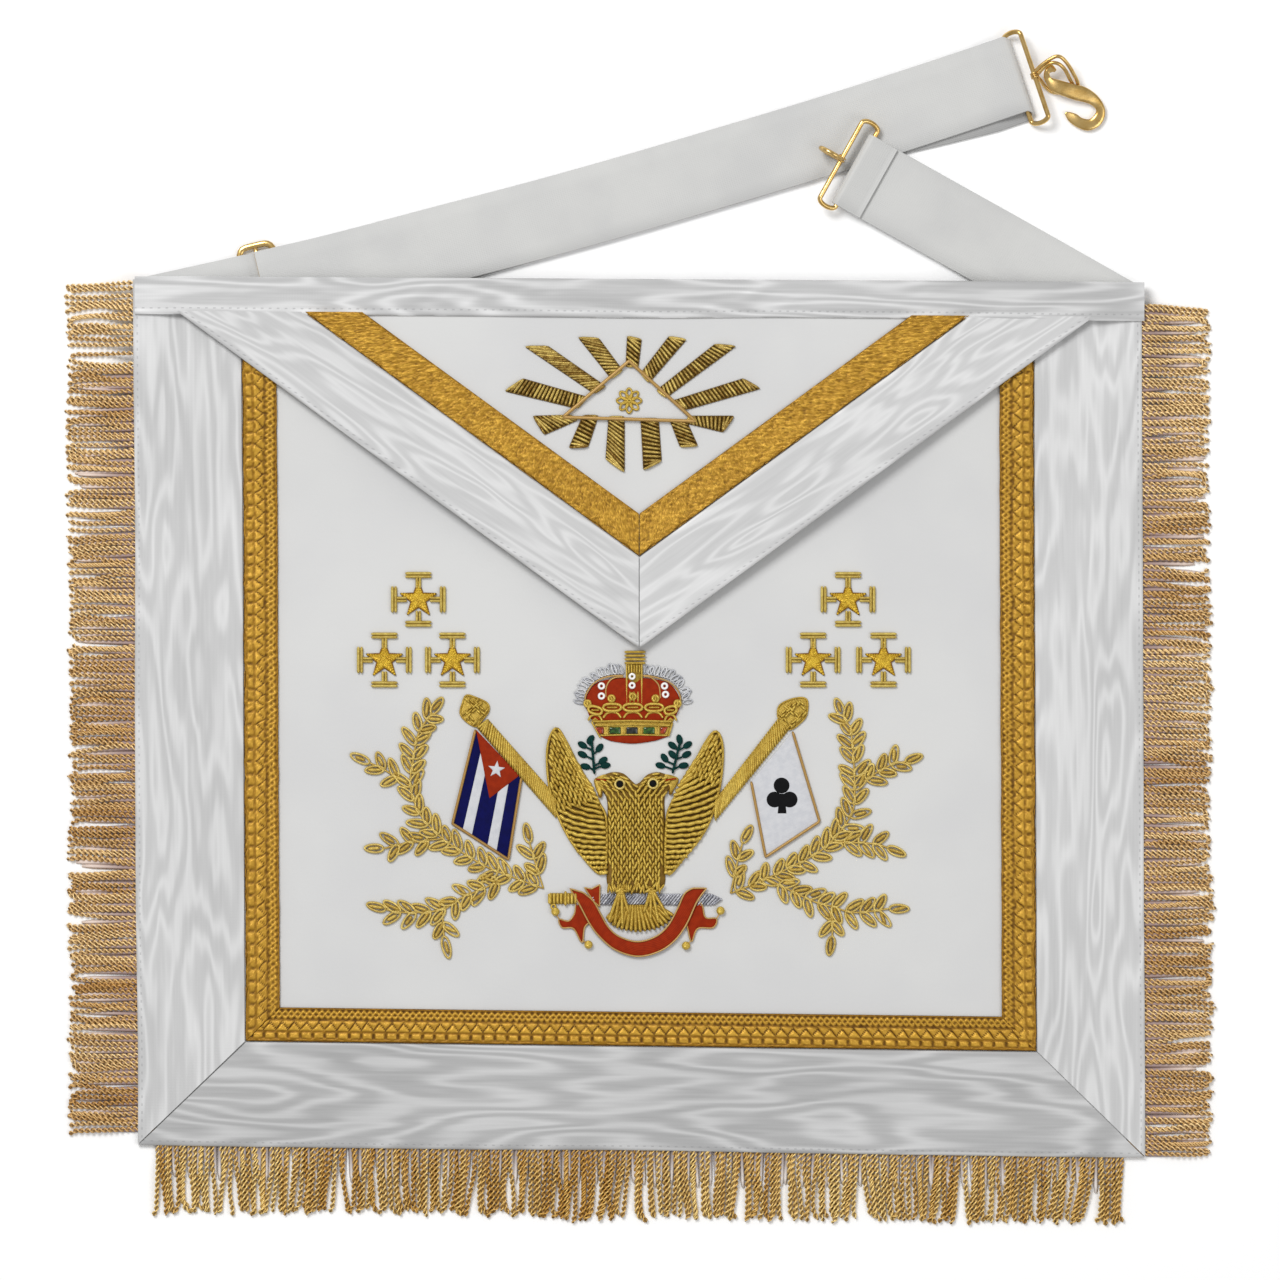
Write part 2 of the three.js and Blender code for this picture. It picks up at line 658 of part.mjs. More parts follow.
function addSnakeHook() {
  const turn = radians(hookEyeAt);
  const radial = ringAlong.clone().multiplyScalar(Math.cos(turn)).addScaledVector(ringUp, Math.sin(turn));
  const seat = ringCentre.clone().addScaledVector(radial, hookRingRadius);
  const above = ringAlong.clone().cross(ringUp);
  const eye = [-10, 35, 80, 130, 180, 230, 270].map((degrees) => seat.clone()
    .addScaledVector(radial, -hookEyeRadius * Math.cos(radians(degrees)))
    .addScaledVector(above, -hookEyeRadius * Math.sin(radians(degrees))));
  const body = hookCourse.map(({ along, across, height }) => new THREE.Vector3(
    ringCentre.x + along * hookLength,
    ringCentre.y + across * hookLength,
    height,
  ));
  const curve = new THREE.CatmullRomCurve3([...body.reverse(), ...eye.reverse()], false, 'centripetal');
  const steps = 34;
  const frames = curve.computeFrenetFrames(steps, false);
  const rings = Array.from({ length: steps + 1 }, (_, step) => {
    const share = step / steps;
    const fromTip = THREE.MathUtils.smoothstep(share, 0, 0.12);
    const towardsEye = THREE.MathUtils.smoothstep(share, 0.55, 0.72);
    const full = fromTip * (1 - 0.42 * towardsEye);
    const width = (hookWidth / 2) * Math.max(full, 0.25);
    const thick = (hookThickness / 2) * (0.55 + 0.45 * full);
    const middle = curve.getPointAt(share);
    return Array.from({ length: 8 }, (__, side) => {
      const angle = (2 * Math.PI * side) / 8;
      return middle.clone()
        .addScaledVector(frames.binormals[step], width * Math.cos(angle))
        .addScaledVector(frames.normals[step], thick * Math.sin(angle));
    });
  });
  add('snake_hook', loft(rings), polishedGold);
}

// The eye that the hook catches stands upright on its frame.
function addEyeFrame() {
  const centre = knotOf(eyeSetting, eyeFrameDepth, eyeKnotShift)
    .addScaledVector(eyeSetting.heading, eyeRingRadius);
  const ring = ringWire(centre, eyeSetting.heading, new THREE.Vector3(0, 0, 1), eyeRingRadius);
  add('eye_frame', fused([frameWire(eyeSetting, eyeFrameDepth, eyeKnotShift), ring]), polishedGold);
}

// Sunburst rays round the triangle: corners on a chart centred on the triangle
const rays = [
  [[-1.5, 67], [12, 64], [9, 38], [-3, 38]],
  [[39.6, 66.8], [56.5, 64], [20, 22], [12, 31]],
  [[85, 59], [105.6, 57.3], [37, 7], [28, 14]],
  [[113, 25], [130, 15.4], [58, -5], [43, 3]],
  [[60, -12], [104, -12], [93, -27.5], [58, -19]],
  [[41, -16], [57, -16.5], [68, -41], [51, -42]],
  [[12, -15], [29, -15], [32, -56], [14.6, -65]],
  [[-20, -13], [-5, -13], [-5, -67], [-23, -54]],
  [[-46, -12], [-31, -12], [-41, -42], [-59.5, -43]],
  [[-95, -12], [-60, -11], [-52, -16], [-84, -30]],
  [[-105, 25], [-42, 7], [-52, -4], [-123, 13]],
  [[-103, 57], [-80, 57], [-24, 18], [-35, 11]],
  [[-50, 66], [-30, 65], [-7, 34], [-18, 26]],
];
const triangle = [[0, 43], [-66, -13], [66, -17]];
const triangleCord = 4.5;
const rosetteCentre = [0, 3.5];

function addSunburst() {
  const centre = [sunburstAside * apronWidth, apronHeight / 2 - sunburstDown * flapDrop];
  const onFlap = (geometry) => {
    geometry.translate(centre[0], centre[1], 0);
    const position = geometry.attributes.position;
    for (let index = 0; index < position.count; index += 1) {
      position.setZ(index, position.getZ(index) + flapUnder(position.getY(index)) + onLeather);
    }
    return geometry;
  };
  const sides = triangle.map((corner, index) => {
    const next = triangle[(index + 1) % 3];
    const reach = [(next[0] - corner[0]) * 0.02, (next[1] - corner[1]) * 0.02];
    const from = [corner[0] - reach[0], corner[1] - reach[1]];
    const to = [next[0] + reach[0], next[1] + reach[1]];
    return relief(bar(from, to, triangleCord), ray, 0, purl);
  });
  const arms = rays.map((outline) => relief(outline, ray, 0, padded));
  add('sunburst', onFlap(fused([...sides, ...arms])), goldBullion);

  const petals = Array.from({ length: 8 }, (_, index) => {
    const angle = (Math.PI * index) / 4;
    return relief(leaf(rosetteCentre, angle, 12.5, 8), ray, 0, purl);
  });
  const hub = relief(Array.from({ length: 8 }, (_, index) => {
    const angle = (Math.PI * (index + 0.5)) / 4;
    return [rosetteCentre[0] + 5 * Math.cos(angle), rosetteCentre[1] + 5 * Math.sin(angle)];
  }), ray, 0, padded);
  add('triangle_rosette', onFlap(fused([...petals, hub])), goldBullion);
}

// A five-pointed star on a cross whose arms end in bars
const starCrossCentres = [[-221, 116], [-255, 55.5], [-187, 55.5],
  [208.4, 116], [173.5, 55.5], [243.8, 55.5]];
const starShares = {
  outer: 0.31, inner: 0.13, arm: 0.445, stem: 0.06, barHalf: 0.21, barWidth: 0.105,
};

function addStarCrosses() {
  const star = Array.from({ length: 10 }, (_, index) => {
    const angle = Math.PI / 2 + (Math.PI * index) / 5;
    const reach = index % 2 ? starShares.inner : starShares.outer;
    return [reach * Math.cos(angle), reach * Math.sin(angle)];
  });
  const { arm, stem, barHalf, barWidth } = starShares;
  const bars = [bar([-arm, 0], [arm, 0], stem), bar([0, -arm], [0, arm], stem)];
  for (const side of [-arm, arm]) {
    bars.push(bar([side, -barHalf], [side, barHalf], barWidth));
    bars.push(bar([-barHalf, side], [barHalf, side], barWidth));
  }
  const pattern = fused([
    relief(star, starCrossWidth, 0, padded),
    ...bars.map((outline) => relief(outline, starCrossWidth, 0, purl)),
  ]);
  starCrossCentres.forEach(([x, y], index) => {
    const cross = add(`star_cross_${index + 1}`, pattern.clone(), starGold);
    cross.position.set(x * square, y * square, onLeather);
  });
}

const crownPost = [[-15, 64], [-15, 50.5], [-12, 50.5], [-12, 12], [0, 12], [0, 50.5], [7, 50.5], [7, 64]];
const crownCap = [[-46, -8], [-54, 4], [-54.5, 15], [-48, 28], [-36, 35], [-7, 38],
  [22, 35], [34, 28], [41, 15], [40, 4], [33, -8]];
const crownBand = [[-46, -9.5], [-41, -20], [-39, -24], [-9, -29], [26, -24], [28, -20], [33, -9.5]];
const fleurons = [-43, -25, -6.5, 12.5, 30];

function addCrown() {
  add('crown_post', relief(crownPost, square, onLeather, padded), goldBullion);
  const cap = relief(crownCap, square, onLeather, capHeight, softRim);
  add('crown_cap', cutBy(cap, [roomFor(crownPost, padded)]), redSatin);
  const capTop = onLeather + capHeight + gap;
  const leaves = fleurons.map((x) => relief([[x - 2, -12], [x + 2, -12], [x + 7, -1], [x + 3, 0],
    [x, 9], [x - 3, 0], [x - 7, -1]], square, capTop, fleuronHeight));
  const band = relief(crownBand, square, onLeather, capTop + fleuronHeight - onLeather);
  add('crown_band', fused([band, ...leaves]), goldBullion);
}

const leftWing = [[-84, -13], [-92, -33], [-90, -71], [-78, -108], [-58.5, -139], [-36, -157.5],
  [-36, -107], [-40, -88], [-54, -65], [-74, -25]];
const rightWing = [[77, -16], [66, -27], [46, -65], [32, -88], [29, -107], [29, -157.5],
  [44, -142.5], [67.5, -111], [80, -71], [83, -33]];
const eagleBody = [[-28, -174], [21, -174], [25, -145], [25.5, -105], [25, -85], [27, -77], [32, -70],
  [35, -63.5], [27, -61], [20, -56], [10, -58], [2, -67], [-3, -71], [-8, -67], [-16, -58],
  [-26, -56], [-34, -61], [-43, -63.5], [-40, -70], [-36, -77], [-32.5, -85], [-32, -105], [-32, -145]];
const eagleTail = [[-26, -175.5], [-24, -190], [-30, -209], [-15, -217], [2, -219], [20, -216],
  [31, -209], [24, -188], [17, -175.5]];
const swordBlade = [[-62, -179.5], [-62, -188.5], [72, -188.5], [82, -184], [72, -179.5]];
const swordHilt = [[-90, -178], [-90, -187], [-76, -187], [-76, -190], [-71, -190], [-71, -187],
  [-63, -187], [-63, -178], [-71, -178], [-71, -175], [-76, -175], [-76, -178]];

function addEagle() {
  add('eagle_wing_left', relief(leftWing, square, onLeather, padded, softRim), goldBullion);
  add('eagle_wing_right', relief(rightWing, square, onLeather, padded, softRim), goldBullion);
  add('eagle_body', relief(eagleBody, square, onLeather, bodyPadding, softRim), goldBullion);
  const tail = relief(eagleTail, square, onLeather, padded + softRim, softRim);
  add('eagle_tail', cutBy(tail, [roomFor(swordBlade, purl)]), goldBullion);
}

function addSword() {
  add('sword_blade', relief(swordBlade, square, onLeather, purl), silverWire);
  add('sword_hilt', relief(swordHilt, square, onLeather, purl), goldBullion);
}

// The ribbon hangs in a half ring under the eagle, with a forked end on each side.
const ribbonCentre = [-2, -176];
const ribbonMiddle = 59;
const ribbonWidth = 16;
const forkedEnd = [[-66, -173], [-87, -194], [-70, -203], [-55, -232], [-44, -215], [-54, -182]];

function addRibbon() {
  const arcAt = (reach) => Array.from({ length: 13 }, (_, step) => {
    const angle = Math.PI * (1 + step / 12);
    return [ribbonCentre[0] + reach * Math.cos(angle), ribbonCentre[1] + reach * Math.sin(angle)];
  });
  const outerEdge = arcAt(ribbonMiddle + ribbonWidth / 2);
  const innerEdge = arcAt(ribbonMiddle - ribbonWidth / 2);
  const band = [...outerEdge, ...innerEdge.reverse()];
  const whole = fused([band, forkedEnd, mirrored(forkedEnd, ribbonCentre[0])]
    .map((outline) => relief(outline, square, onLeather, padded)));
  const room = [roomFor(swordBlade, purl), roomFor(swordHilt, purl), roomFor(eagleTail, padded)];
  add('ribbon', cutBy(whole, room), redSatin);
}

const leftStaff = [[-151, -4], [-162, -13], [-95.5, -89], [-95.5, -67]];
const leftFinial = [[-173, 20], [-179, 0], [-164, -12], [-150, -6], [-152, 6], [-154, 12]];
const rightStaff = [[140, -1], [86.5, -72], [86.5, -92], [149, -15]];
const rightFinial = [[141, 11], [139, -3], [150, -16], [152, -9], [169, -3], [167, 20]];
const leftFlag = [[-164.5, -17.5], [-186, -107], [-131, -143], [-120.5, -66]];
const rightFlag = [[153, -16], [111.5, -66], [126, -141.5], [180, -106]];

function addFlags() {
  for (const [label, staff, finial, flag, cloth] of [
    ['left', leftStaff, leftFinial, leftFlag, flagSatin],
    ['right', rightStaff, rightFinial, rightFlag, whiteSatin],
  ]) {
    const pole = fused([staff, finial].map((outline) => relief(outline, square, onLeather, padded)));
    add(`staff_${label}`, pole, goldBullion);
    add(`flag_${label}`, relief(flag, square, onLeather, purl), cloth);
  }
}

// A leaf of six sides from its root along a direction
function leaf([x, y], angle, length, width) {
  const [cos, sin] = [Math.cos(angle), Math.sin(angle)];
  return [[0, 0], [0.35, -0.5], [0.75, -0.4], [1, 0], [0.75, 0.4], [0.35, 0.5]]
    .map(([u, v]) => [x + u * length * cos - v * width * sin, y + u * length * sin + v * width * cos]);
}

// A stem along chart points with leaves in pairs at even steps, and one leaf at its tip
function sprayOf(points, { thickness, spacing, length, width, spread, skip = 0 }, height) {
  const shapes = [];
  let travelled = 0;
  let nextPair = skip + spacing / 2;
  points.slice(1).forEach((to, index) => {
    const from = points[index];
    const run = Math.hypot(to[0] - from[0], to[1] - from[1]);
    const angle = Math.atan2(to[1] - from[1], to[0] - from[0]);
    const past = thickness * 0.4;
    const reach = [to[0] + past * Math.cos(angle), to[1] + past * Math.sin(angle)];
    shapes.push(relief(bar(from, reach, thickness), square, onLeather, height));
    for (; nextPair < travelled + run; nextPair += spacing) {
      const share = (nextPair - travelled) / run;
      const at = [from[0] + share * (to[0] - from[0]), from[1] + share * (to[1] - from[1])];
      for (const side of [-1, 1]) {
        shapes.push(relief(leaf(at, angle + side * spread, length, width), square, onLeather, height));
      }
    }
    travelled += run;
  });
  const [before, tip] = points.slice(-2);
  const angle = Math.atan2(tip[1] - before[1], tip[0] - before[0]);
  shapes.push(relief(leaf(tip, angle, length, width), square, onLeather, height));
  return shapes;
}

const laurelLeaf = { thickness: 3.4, spacing: 31, length: 20, width: 9, spread: 0.75 };
const laurels = {
  left: [
    [[-96, -173], [-128, -161], [-157, -149], [-197, -123], [-219, -99], [-229, -71], [-226, -44],
      [-221, -18], [-208, 2]],
    [[-229, -71], [-252, -56], [-270, -47]],
    [[-197, -123], [-235, -128], [-256, -133]],
    [[-128, -161], [-179.5, -183], [-197, -194], [-231, -197], [-254, -194]],
    [[-197, -194], [-195.5, -221]],
    [[-96, -173], [-102, -154], [-110, -127]],
  ],
  right: [
    [[91, -178], [127, -163], [170, -142], [191, -126.5], [211.5, -99], [215, -71], [211.5, -18],
      [203, 0]],
    [[215, -71], [248, -51], [266, -46]],
    [[191, -126.5], [232, -128], [248, -132]],
    [[127, -163], [172, -185], [193, -191], [215, -197], [250, -193]],
    [[193, -191], [192.6, -221]],
    [[91, -178], [97, -150], [103, -127]],
  ],
};

function addLaurels() {
  for (const [label, flag, wing, staff] of [
    ['left', leftFlag, leftWing, leftStaff],
    ['right', rightFlag, rightWing, rightStaff],
  ]) {
    const shapes = laurels[label].flatMap((points, index) => sprayOf(
      points,
      { ...laurelLeaf, skip: index ? 8 : 0 },
      purl,
    ));
    const room = [roomFor(flag, purl), roomFor(wing, padded), roomFor(staff, padded),
      roomFor(label === 'left' ? swordHilt : swordBlade, purl), roomFor(forkedEnd, padded),
      roomFor(mirrored(forkedEnd, ribbonCentre[0]), padded)];
    add(`laurel_${label}`, cutBy(fused(shapes), room), goldBullion);
  }
}

const sprigLeaf = { thickness: 3, spacing: 13, length: 12, width: 5.5, spread: 0.8, skip: 4 };

function addSprigs() {
  for (const [label, points, wing] of [
    ['left', [[-46, -55], [-49, -24]], leftWing],
    ['right', [[34, -53], [38.5, -24]], rightWing],
  ]) {
    const room = [roomFor(wing, padded), roomFor(eagleBody, bodyPadding)];
    const sprig = cutBy(fused(sprayOf(points, sprigLeaf, purl)), room);
    add(`sprig_${label}`, sprig, greenSilk);
  }
}

addGround();
addBordersAndBraids();
addWaistband();
addFlap();
addFringes();
addBelts();
addSlide();
addHookFrame();
addSnakeHook();
addEyeFrame();
addSunburst();
addStarCrosses();
addCrown();
addEagle();
addSword();
addRibbon();
addFlags();
addLaurels();
addSprigs();

export default apron;
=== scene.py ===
import json

import bpy
import numpy as np
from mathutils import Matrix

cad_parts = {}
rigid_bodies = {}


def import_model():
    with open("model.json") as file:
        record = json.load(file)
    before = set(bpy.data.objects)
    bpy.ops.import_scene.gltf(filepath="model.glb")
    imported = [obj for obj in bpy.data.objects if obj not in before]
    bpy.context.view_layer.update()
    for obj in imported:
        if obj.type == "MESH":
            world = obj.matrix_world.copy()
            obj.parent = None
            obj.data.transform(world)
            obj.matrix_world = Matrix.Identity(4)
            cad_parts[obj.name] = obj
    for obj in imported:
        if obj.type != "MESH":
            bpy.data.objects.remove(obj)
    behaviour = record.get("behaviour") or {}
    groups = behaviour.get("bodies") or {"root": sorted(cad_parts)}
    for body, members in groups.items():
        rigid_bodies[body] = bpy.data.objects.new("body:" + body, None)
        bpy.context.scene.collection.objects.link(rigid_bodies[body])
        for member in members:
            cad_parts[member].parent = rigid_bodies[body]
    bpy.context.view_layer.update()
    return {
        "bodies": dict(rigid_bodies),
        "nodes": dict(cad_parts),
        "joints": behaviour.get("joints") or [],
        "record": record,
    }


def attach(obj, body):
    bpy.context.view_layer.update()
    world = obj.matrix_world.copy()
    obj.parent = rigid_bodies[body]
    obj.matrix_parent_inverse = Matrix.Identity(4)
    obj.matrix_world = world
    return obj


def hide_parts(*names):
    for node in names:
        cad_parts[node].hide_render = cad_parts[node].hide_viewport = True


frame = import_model()
scene = bpy.context.scene
scene.view_settings.view_transform = "Standard"
print("frame loaded:", len(frame["nodes"]), "nodes")

# All shapes below are worked out in millimetres, with +X right, +Y towards the belt, +Z up.
metre = 0.001
apron = {"halfWidth": 203.0, "halfHeight": 175.5, "lean": 0.0046, "lowTilt": 0.0128, "topTilt": 0.006}
stack = {"topLift": 4.3, "liftStart": 80.73, "liftEnd": 140.4, "onLeather": 1.5, "leather": 1.2,
         "flapTip": 4.0, "flapRise": 0.03295, "flapTipY": 27.5, "bandEdge": 160.0}
upward = np.array([0, 0, 1.0])


# camera, floor and lights
studio = {"distance": 3.5, "frameWidth": 0.5158, "centre": (0.0002, 0.0304), "floor": (0.97, 0.97, 0.97),
          "sky": 0.47, "key": 34.0, "fill": 10.4}


def addCamera():
    data = bpy.data.cameras.new("camera")
    data.sensor_width = 36
    data.lens = 36 * studio["distance"] / studio["frameWidth"]
    data.clip_end = 20
    camera = bpy.data.objects.new("camera", data)
    camera.location = (*studio["centre"], studio["distance"])
    scene.collection.objects.link(camera)
    scene.camera = camera


def addLight(name, place, size, power):
    data = bpy.data.lights.new(name, "AREA")
    data.shape = "DISK"
    data.size = size
    data.energy = power
    lamp = bpy.data.objects.new(name, data)
    lamp.location = place
    scene.collection.objects.link(lamp)
    lamp.rotation_euler = lamp.location.to_track_quat("Z", "Y").to_euler()


addCamera()
addLight("keyLight", (-0.75, 1.15, 1.9), 1.0, studio["key"])
addLight("fillLight", (1.3, -0.5, 1.8), 1.4, studio["fill"])
world = bpy.data.worlds.new("softSky")
world.use_nodes = True
world.node_tree.nodes["Background"].inputs["Color"].default_value = (1, 1, 1, 1)
world.node_tree.nodes["Background"].inputs["Strength"].default_value = studio["sky"]
scene.world = world


# materials
class Thread:
    # One output socket of a material. Operators add Math nodes, and node() adds any other node.
    def __init__(self, tree, out):
        self.tree, self.out = tree, out

    def node(self, kind, settings=None, values=None, out=0):
        made = self.tree.nodes.new(kind)
        for key, value in (settings or {}).items():
            setattr(made, key, value)
        for key, value in (values or {}).items():
            if isinstance(value, Thread):
                self.tree.links.new(value.out, made.inputs[key])
            else:
                made.inputs[key].default_value = value
        return Thread(self.tree, made.outputs[out])

    def maths(self, operation, *values):
        return self.node("ShaderNodeMath", {"operation": operation}, dict(enumerate(values)))

    def __add__(self, other):
        return self.maths("ADD", self, other)

    def __sub__(self, other):
        return self.maths("SUBTRACT", self, other)

    def __rsub__(self, other):
        return self.maths("SUBTRACT", other, self)

    def __mul__(self, other):
        return self.maths("MULTIPLY", self, other)

    def __pow__(self, other):
        return self.maths("POWER", self, other)

    __radd__, __rmul__ = __add__, __mul__

    def sine(self):
        return self.maths("SINE", self)

    def within(self, low, high):
        # 0 below low, 1 above high and a soft step between
        return self.node("ShaderNodeMapRange", {"interpolation_type": "SMOOTHSTEP"},
                         {0: self, 1: low, 2: high})


def srgb(*colour):
    # screen values 0 to 255 turned to light values
    share = np.array(colour) / 255
    return tuple(np.where(share <= 0.04045, share / 12.92, ((share + 0.055) / 1.055) ** 2.4))


class Finish:
    # A material with its shader, its coordinates and the links that end in the shader
    def __init__(self, name, **fixed):
        self.material = bpy.data.materials.new(name)
        self.material.use_nodes = True
        self.tree = self.material.node_tree
        self.shader = self.tree.nodes["Principled BSDF"]
        for key, value in fixed.items():
            self.shader.inputs[key.replace("_", " ")].default_value = value
        self.start = Thread(self.tree, self.tree.nodes.new("ShaderNodeTexCoord").outputs["Object"])

    def place(self):
        return self.start

    def strip(self):
        # the piece's own map: x across it and y along it, in millimetres
        return self.start.node("ShaderNodeUVMap", {"uv_map": "strip"})

    def split(self, vector):
        made = self.start.node("ShaderNodeSeparateXYZ", {}, {0: vector})
        outputs = made.out.node.outputs
        return [Thread(self.tree, outputs[axis]) for axis in range(3)]

    def stretch(self, vector, scale, turn=0.0, shift=(0, 0, 0)):
        return self.start.node("ShaderNodeMapping", {}, {
            "Vector": vector, "Scale": scale, "Rotation": (0, 0, turn), "Location": shift})

    def noise(self, vector, scale, detail=2.0, roughness=0.5, distortion=0.0):
        return self.start.node("ShaderNodeTexNoise", {}, {
            "Vector": vector, "Scale": scale, "Detail": detail, "Roughness": roughness,
            "Distortion": distortion})

    def attribute(self, name):
        return self.start.node("ShaderNodeAttribute", {"attribute_name": name}, out="Fac")

    def mixed(self, share, first, second):
        first, second = [value if isinstance(value, Thread) else (*value, 1) for value in (first, second)]
        return self.start.node("ShaderNodeMix", {"data_type": "RGBA"}, {0: share, 6: first, 7: second}, out=2)

    def bump(self, height, distance, strength=1.0, below=None):
        values = {"Height": height, "Distance": distance, "Strength": strength}
        if below:
            values["Normal"] = below
        return self.start.node("ShaderNodeBump", {}, values)

    def end(self, **links):
        for key, value in links.items():
            self.tree.links.new(value.out, self.shader.inputs[key.replace("_", " ")])
        return self.material


def leatherFinish():
    skin = Finish("whiteLeather", Roughness=0.55, Specular_IOR_Level=0.35)
    spot = skin.place()
    cloud = skin.noise(spot, 14, 3)
    pores = skin.noise(spot, 900, 4, 0.6)
    creases = skin.noise(skin.stretch(spot, (1, 1.6, 1)), 170, 5, 0.6, 0.6)
    colour = skin.mixed(cloud.within(0.35, 0.65), srgb(203, 203, 203), srgb(208, 208, 207))
    rough = skin.bump(creases, 0.0002, 0.25)
    return skin.end(Base_Color=colour, Normal=skin.bump(pores, 0.00006, 0.5, rough),
                    Roughness=0.5 + 0.12 * pores)


def moireFinish(name, turn, seed, dark, light, seam=1.7, size=1.0):
    # Nested waves: the contour lines of a noise drawn out along the ribbon, over fine ribs.
    # seam is where the stitches run, from the ribbon's outer edge.
    ribbon = Finish(name, Roughness=0.42, Specular_IOR_Level=0.4, Sheen_Weight=0.15, Sheen_Roughness=0.4)
    strip = ribbon.strip()
    long = ribbon.stretch(strip, (0.05 * size, 0.0085 * size, 1), turn, (seed, seed * 0.7, 0))
    wide = ribbon.noise(long, 1.0, 1.6, 0.5, 0.3)
    fine = ribbon.noise(ribbon.stretch(strip, (0.16, 0.014, 1), turn, (seed + 4, 2, 0)), 1.0, 2, 0.5)
    waves = ((wide * 62 + fine * 9).sine() * 0.5 + 0.5) ** 1.6
    hairs = ribbon.noise(ribbon.stretch(strip, (0.9, 0.03, 1), turn, (seed, 5, 0)), 1.0, 3)
    drift = ribbon.noise(ribbon.stretch(strip, (0.03, 0.007, 1), turn, (seed, 9, 0)), 1.0, 2)
    sheen = waves * 0.42 + hairs * 0.34 + drift * 0.5 - 0.14
    across, along, _ = ribbon.split(strip)
    ribs = (along * (2 * np.pi / 0.62)).sine() * 0.5 + 0.5
    colour = ribbon.mixed(sheen, srgb(dark, dark, dark), srgb(light, light, light))
    away = across - seam
    edge = 1 - away.maths("ABSOLUTE", away).within(0.12, 0.42)
    dash = ((along * (2 * np.pi / 3.2)).sine()).within(0.2, 0.75)
    stitch = edge * dash
    colour = ribbon.mixed(stitch * 0.4, colour, srgb(138, 138, 140))
    height = ribs * 0.4 + waves * 0.3 - stitch * 1.5
    return ribbon.end(Base_Color=colour, Roughness=0.52 - waves * 0.14,
                      Normal=ribbon.bump(height, 0.00006, 0.6))


def braidFinish():
    # Gold thread, with a painted highlight where the weave stands up and dark brown painted shade in its
    # grooves
    braid = Finish("goldBraid", Metallic=0.35, Roughness=0.42, Specular_IOR_Level=0.3)
    strip = braid.strip()
    across, along, _ = braid.split(strip)
    deep, strandHighlight = braid.attribute("deep"), braid.attribute("tint")
    blotch = braid.noise(strip, 0.5, 3)
    lit = braid.mixed(strandHighlight, srgb(142, 100, 12), srgb(212, 165, 60))
    lit = braid.mixed(blotch.within(0.35, 0.7) * 0.35, lit, srgb(172, 124, 28))
    colour = braid.mixed(deep.within(0.1, 0.9), lit, srgb(84, 52, 2))
    threads = ((along * 12.5 + across * 3).sine() * (across * 11).sine()) * 0.5 + 0.5
    return braid.end(Base_Color=colour, Roughness=0.34 + deep * 0.3,
                     Normal=braid.bump(threads, 0.00008, 0.5))


def cordFinish(name, pale, deep, metal=0.3, rough=0.42):
    # Twisted cord: paler on the crowns and darkened by painted shade where the deep attribute is high, such as
    # in the groove; each cord a little different
    cord = Finish(name, Metallic=metal, Roughness=rough)
    tint = cord.attribute("tint")
    groove = cord.attribute("deep")
    lit = cord.mixed(tint, srgb(*pale[0]), srgb(*pale[1]))
    colour = cord.mixed(groove, lit, srgb(*deep))
    _, along, _ = cord.split(cord.strip())
    threads = (along * 16).sine() * 0.5 + 0.5
    return cord.end(Base_Color=colour, Normal=cord.bump(threads, 0.00005, 0.4))


def webbingFinish():
    webbing = Finish("greyWebbing", Roughness=0.8, Sheen_Weight=0.2, Sheen_Roughness=0.5)
    across, along, _ = webbing.split(webbing.strip())
    ribs = (along * (2 * np.pi / 0.9)).sine() * 0.5 + 0.5
    warp = (across * (2 * np.pi / 0.7) + ribs * 1.4).sine() * 0.5 + 0.5
    cloud = webbing.noise(webbing.place(), 30, 3)
    colour = webbing.mixed(cloud.within(0.3, 0.7), srgb(193, 193, 192), srgb(201, 201, 199))
    colour = webbing.mixed(ribs * warp * 0.12, colour, srgb(160, 160, 160))
    # painted shade: the belt's lower layer, under the folded-back strap, is greyed
    colour = webbing.mixed(webbing.attribute("deep") * 0.5, colour, srgb(128, 128, 128))
    return webbing.end(Base_Color=colour, Normal=webbing.bump(ribs * warp, 0.00012, 0.5))


def metalFinish():
    metal = Finish("polishedGold", Metallic=1.0, Roughness=0.22)
    spot = metal.place()
    wear = metal.noise(spot, 260, 4, 0.6)
    colour = metal.mixed(wear.within(0.35, 0.7), srgb(226, 192, 126), srgb(198, 160, 90))
    fine = metal.noise(metal.stretch(spot, (1, 1, 4)), 1500, 2)
    return metal.end(Base_Color=colour, Roughness=0.16 + wear * 0.16,
                     Normal=metal.bump(fine, 0.00001, 0.3))


def purlFinish(name, pale, deep, metal=0.55, rough=0.36, coil=0.42):
    # Bullion: a fine spring of wire, so bright rings cross each tube, a coil apart, with painted shade between
    # the coils and painted glints
    purl = Finish(name, Metallic=metal, Roughness=rough)
    _, along, _ = purl.split(purl.strip())
    tint = purl.attribute("tint")
    rings = (along * (2 * np.pi / coil)).sine() * 0.5 + 0.5
    glint = purl.noise(purl.place(), 700, 2)
    share = tint * 0.65 + glint.within(0.35, 0.7) * 0.35
    lit = purl.mixed(share, srgb(*deep), srgb(*pale))
    colour = purl.mixed((1 - rings) * 0.35, lit, srgb(*(0.5 * np.array(deep))))
    return purl.end(Base_Color=colour, Roughness=rough - 0.08 + 0.18 * glint,
                    Normal=purl.bump(rings, 0.00012, 0.7))


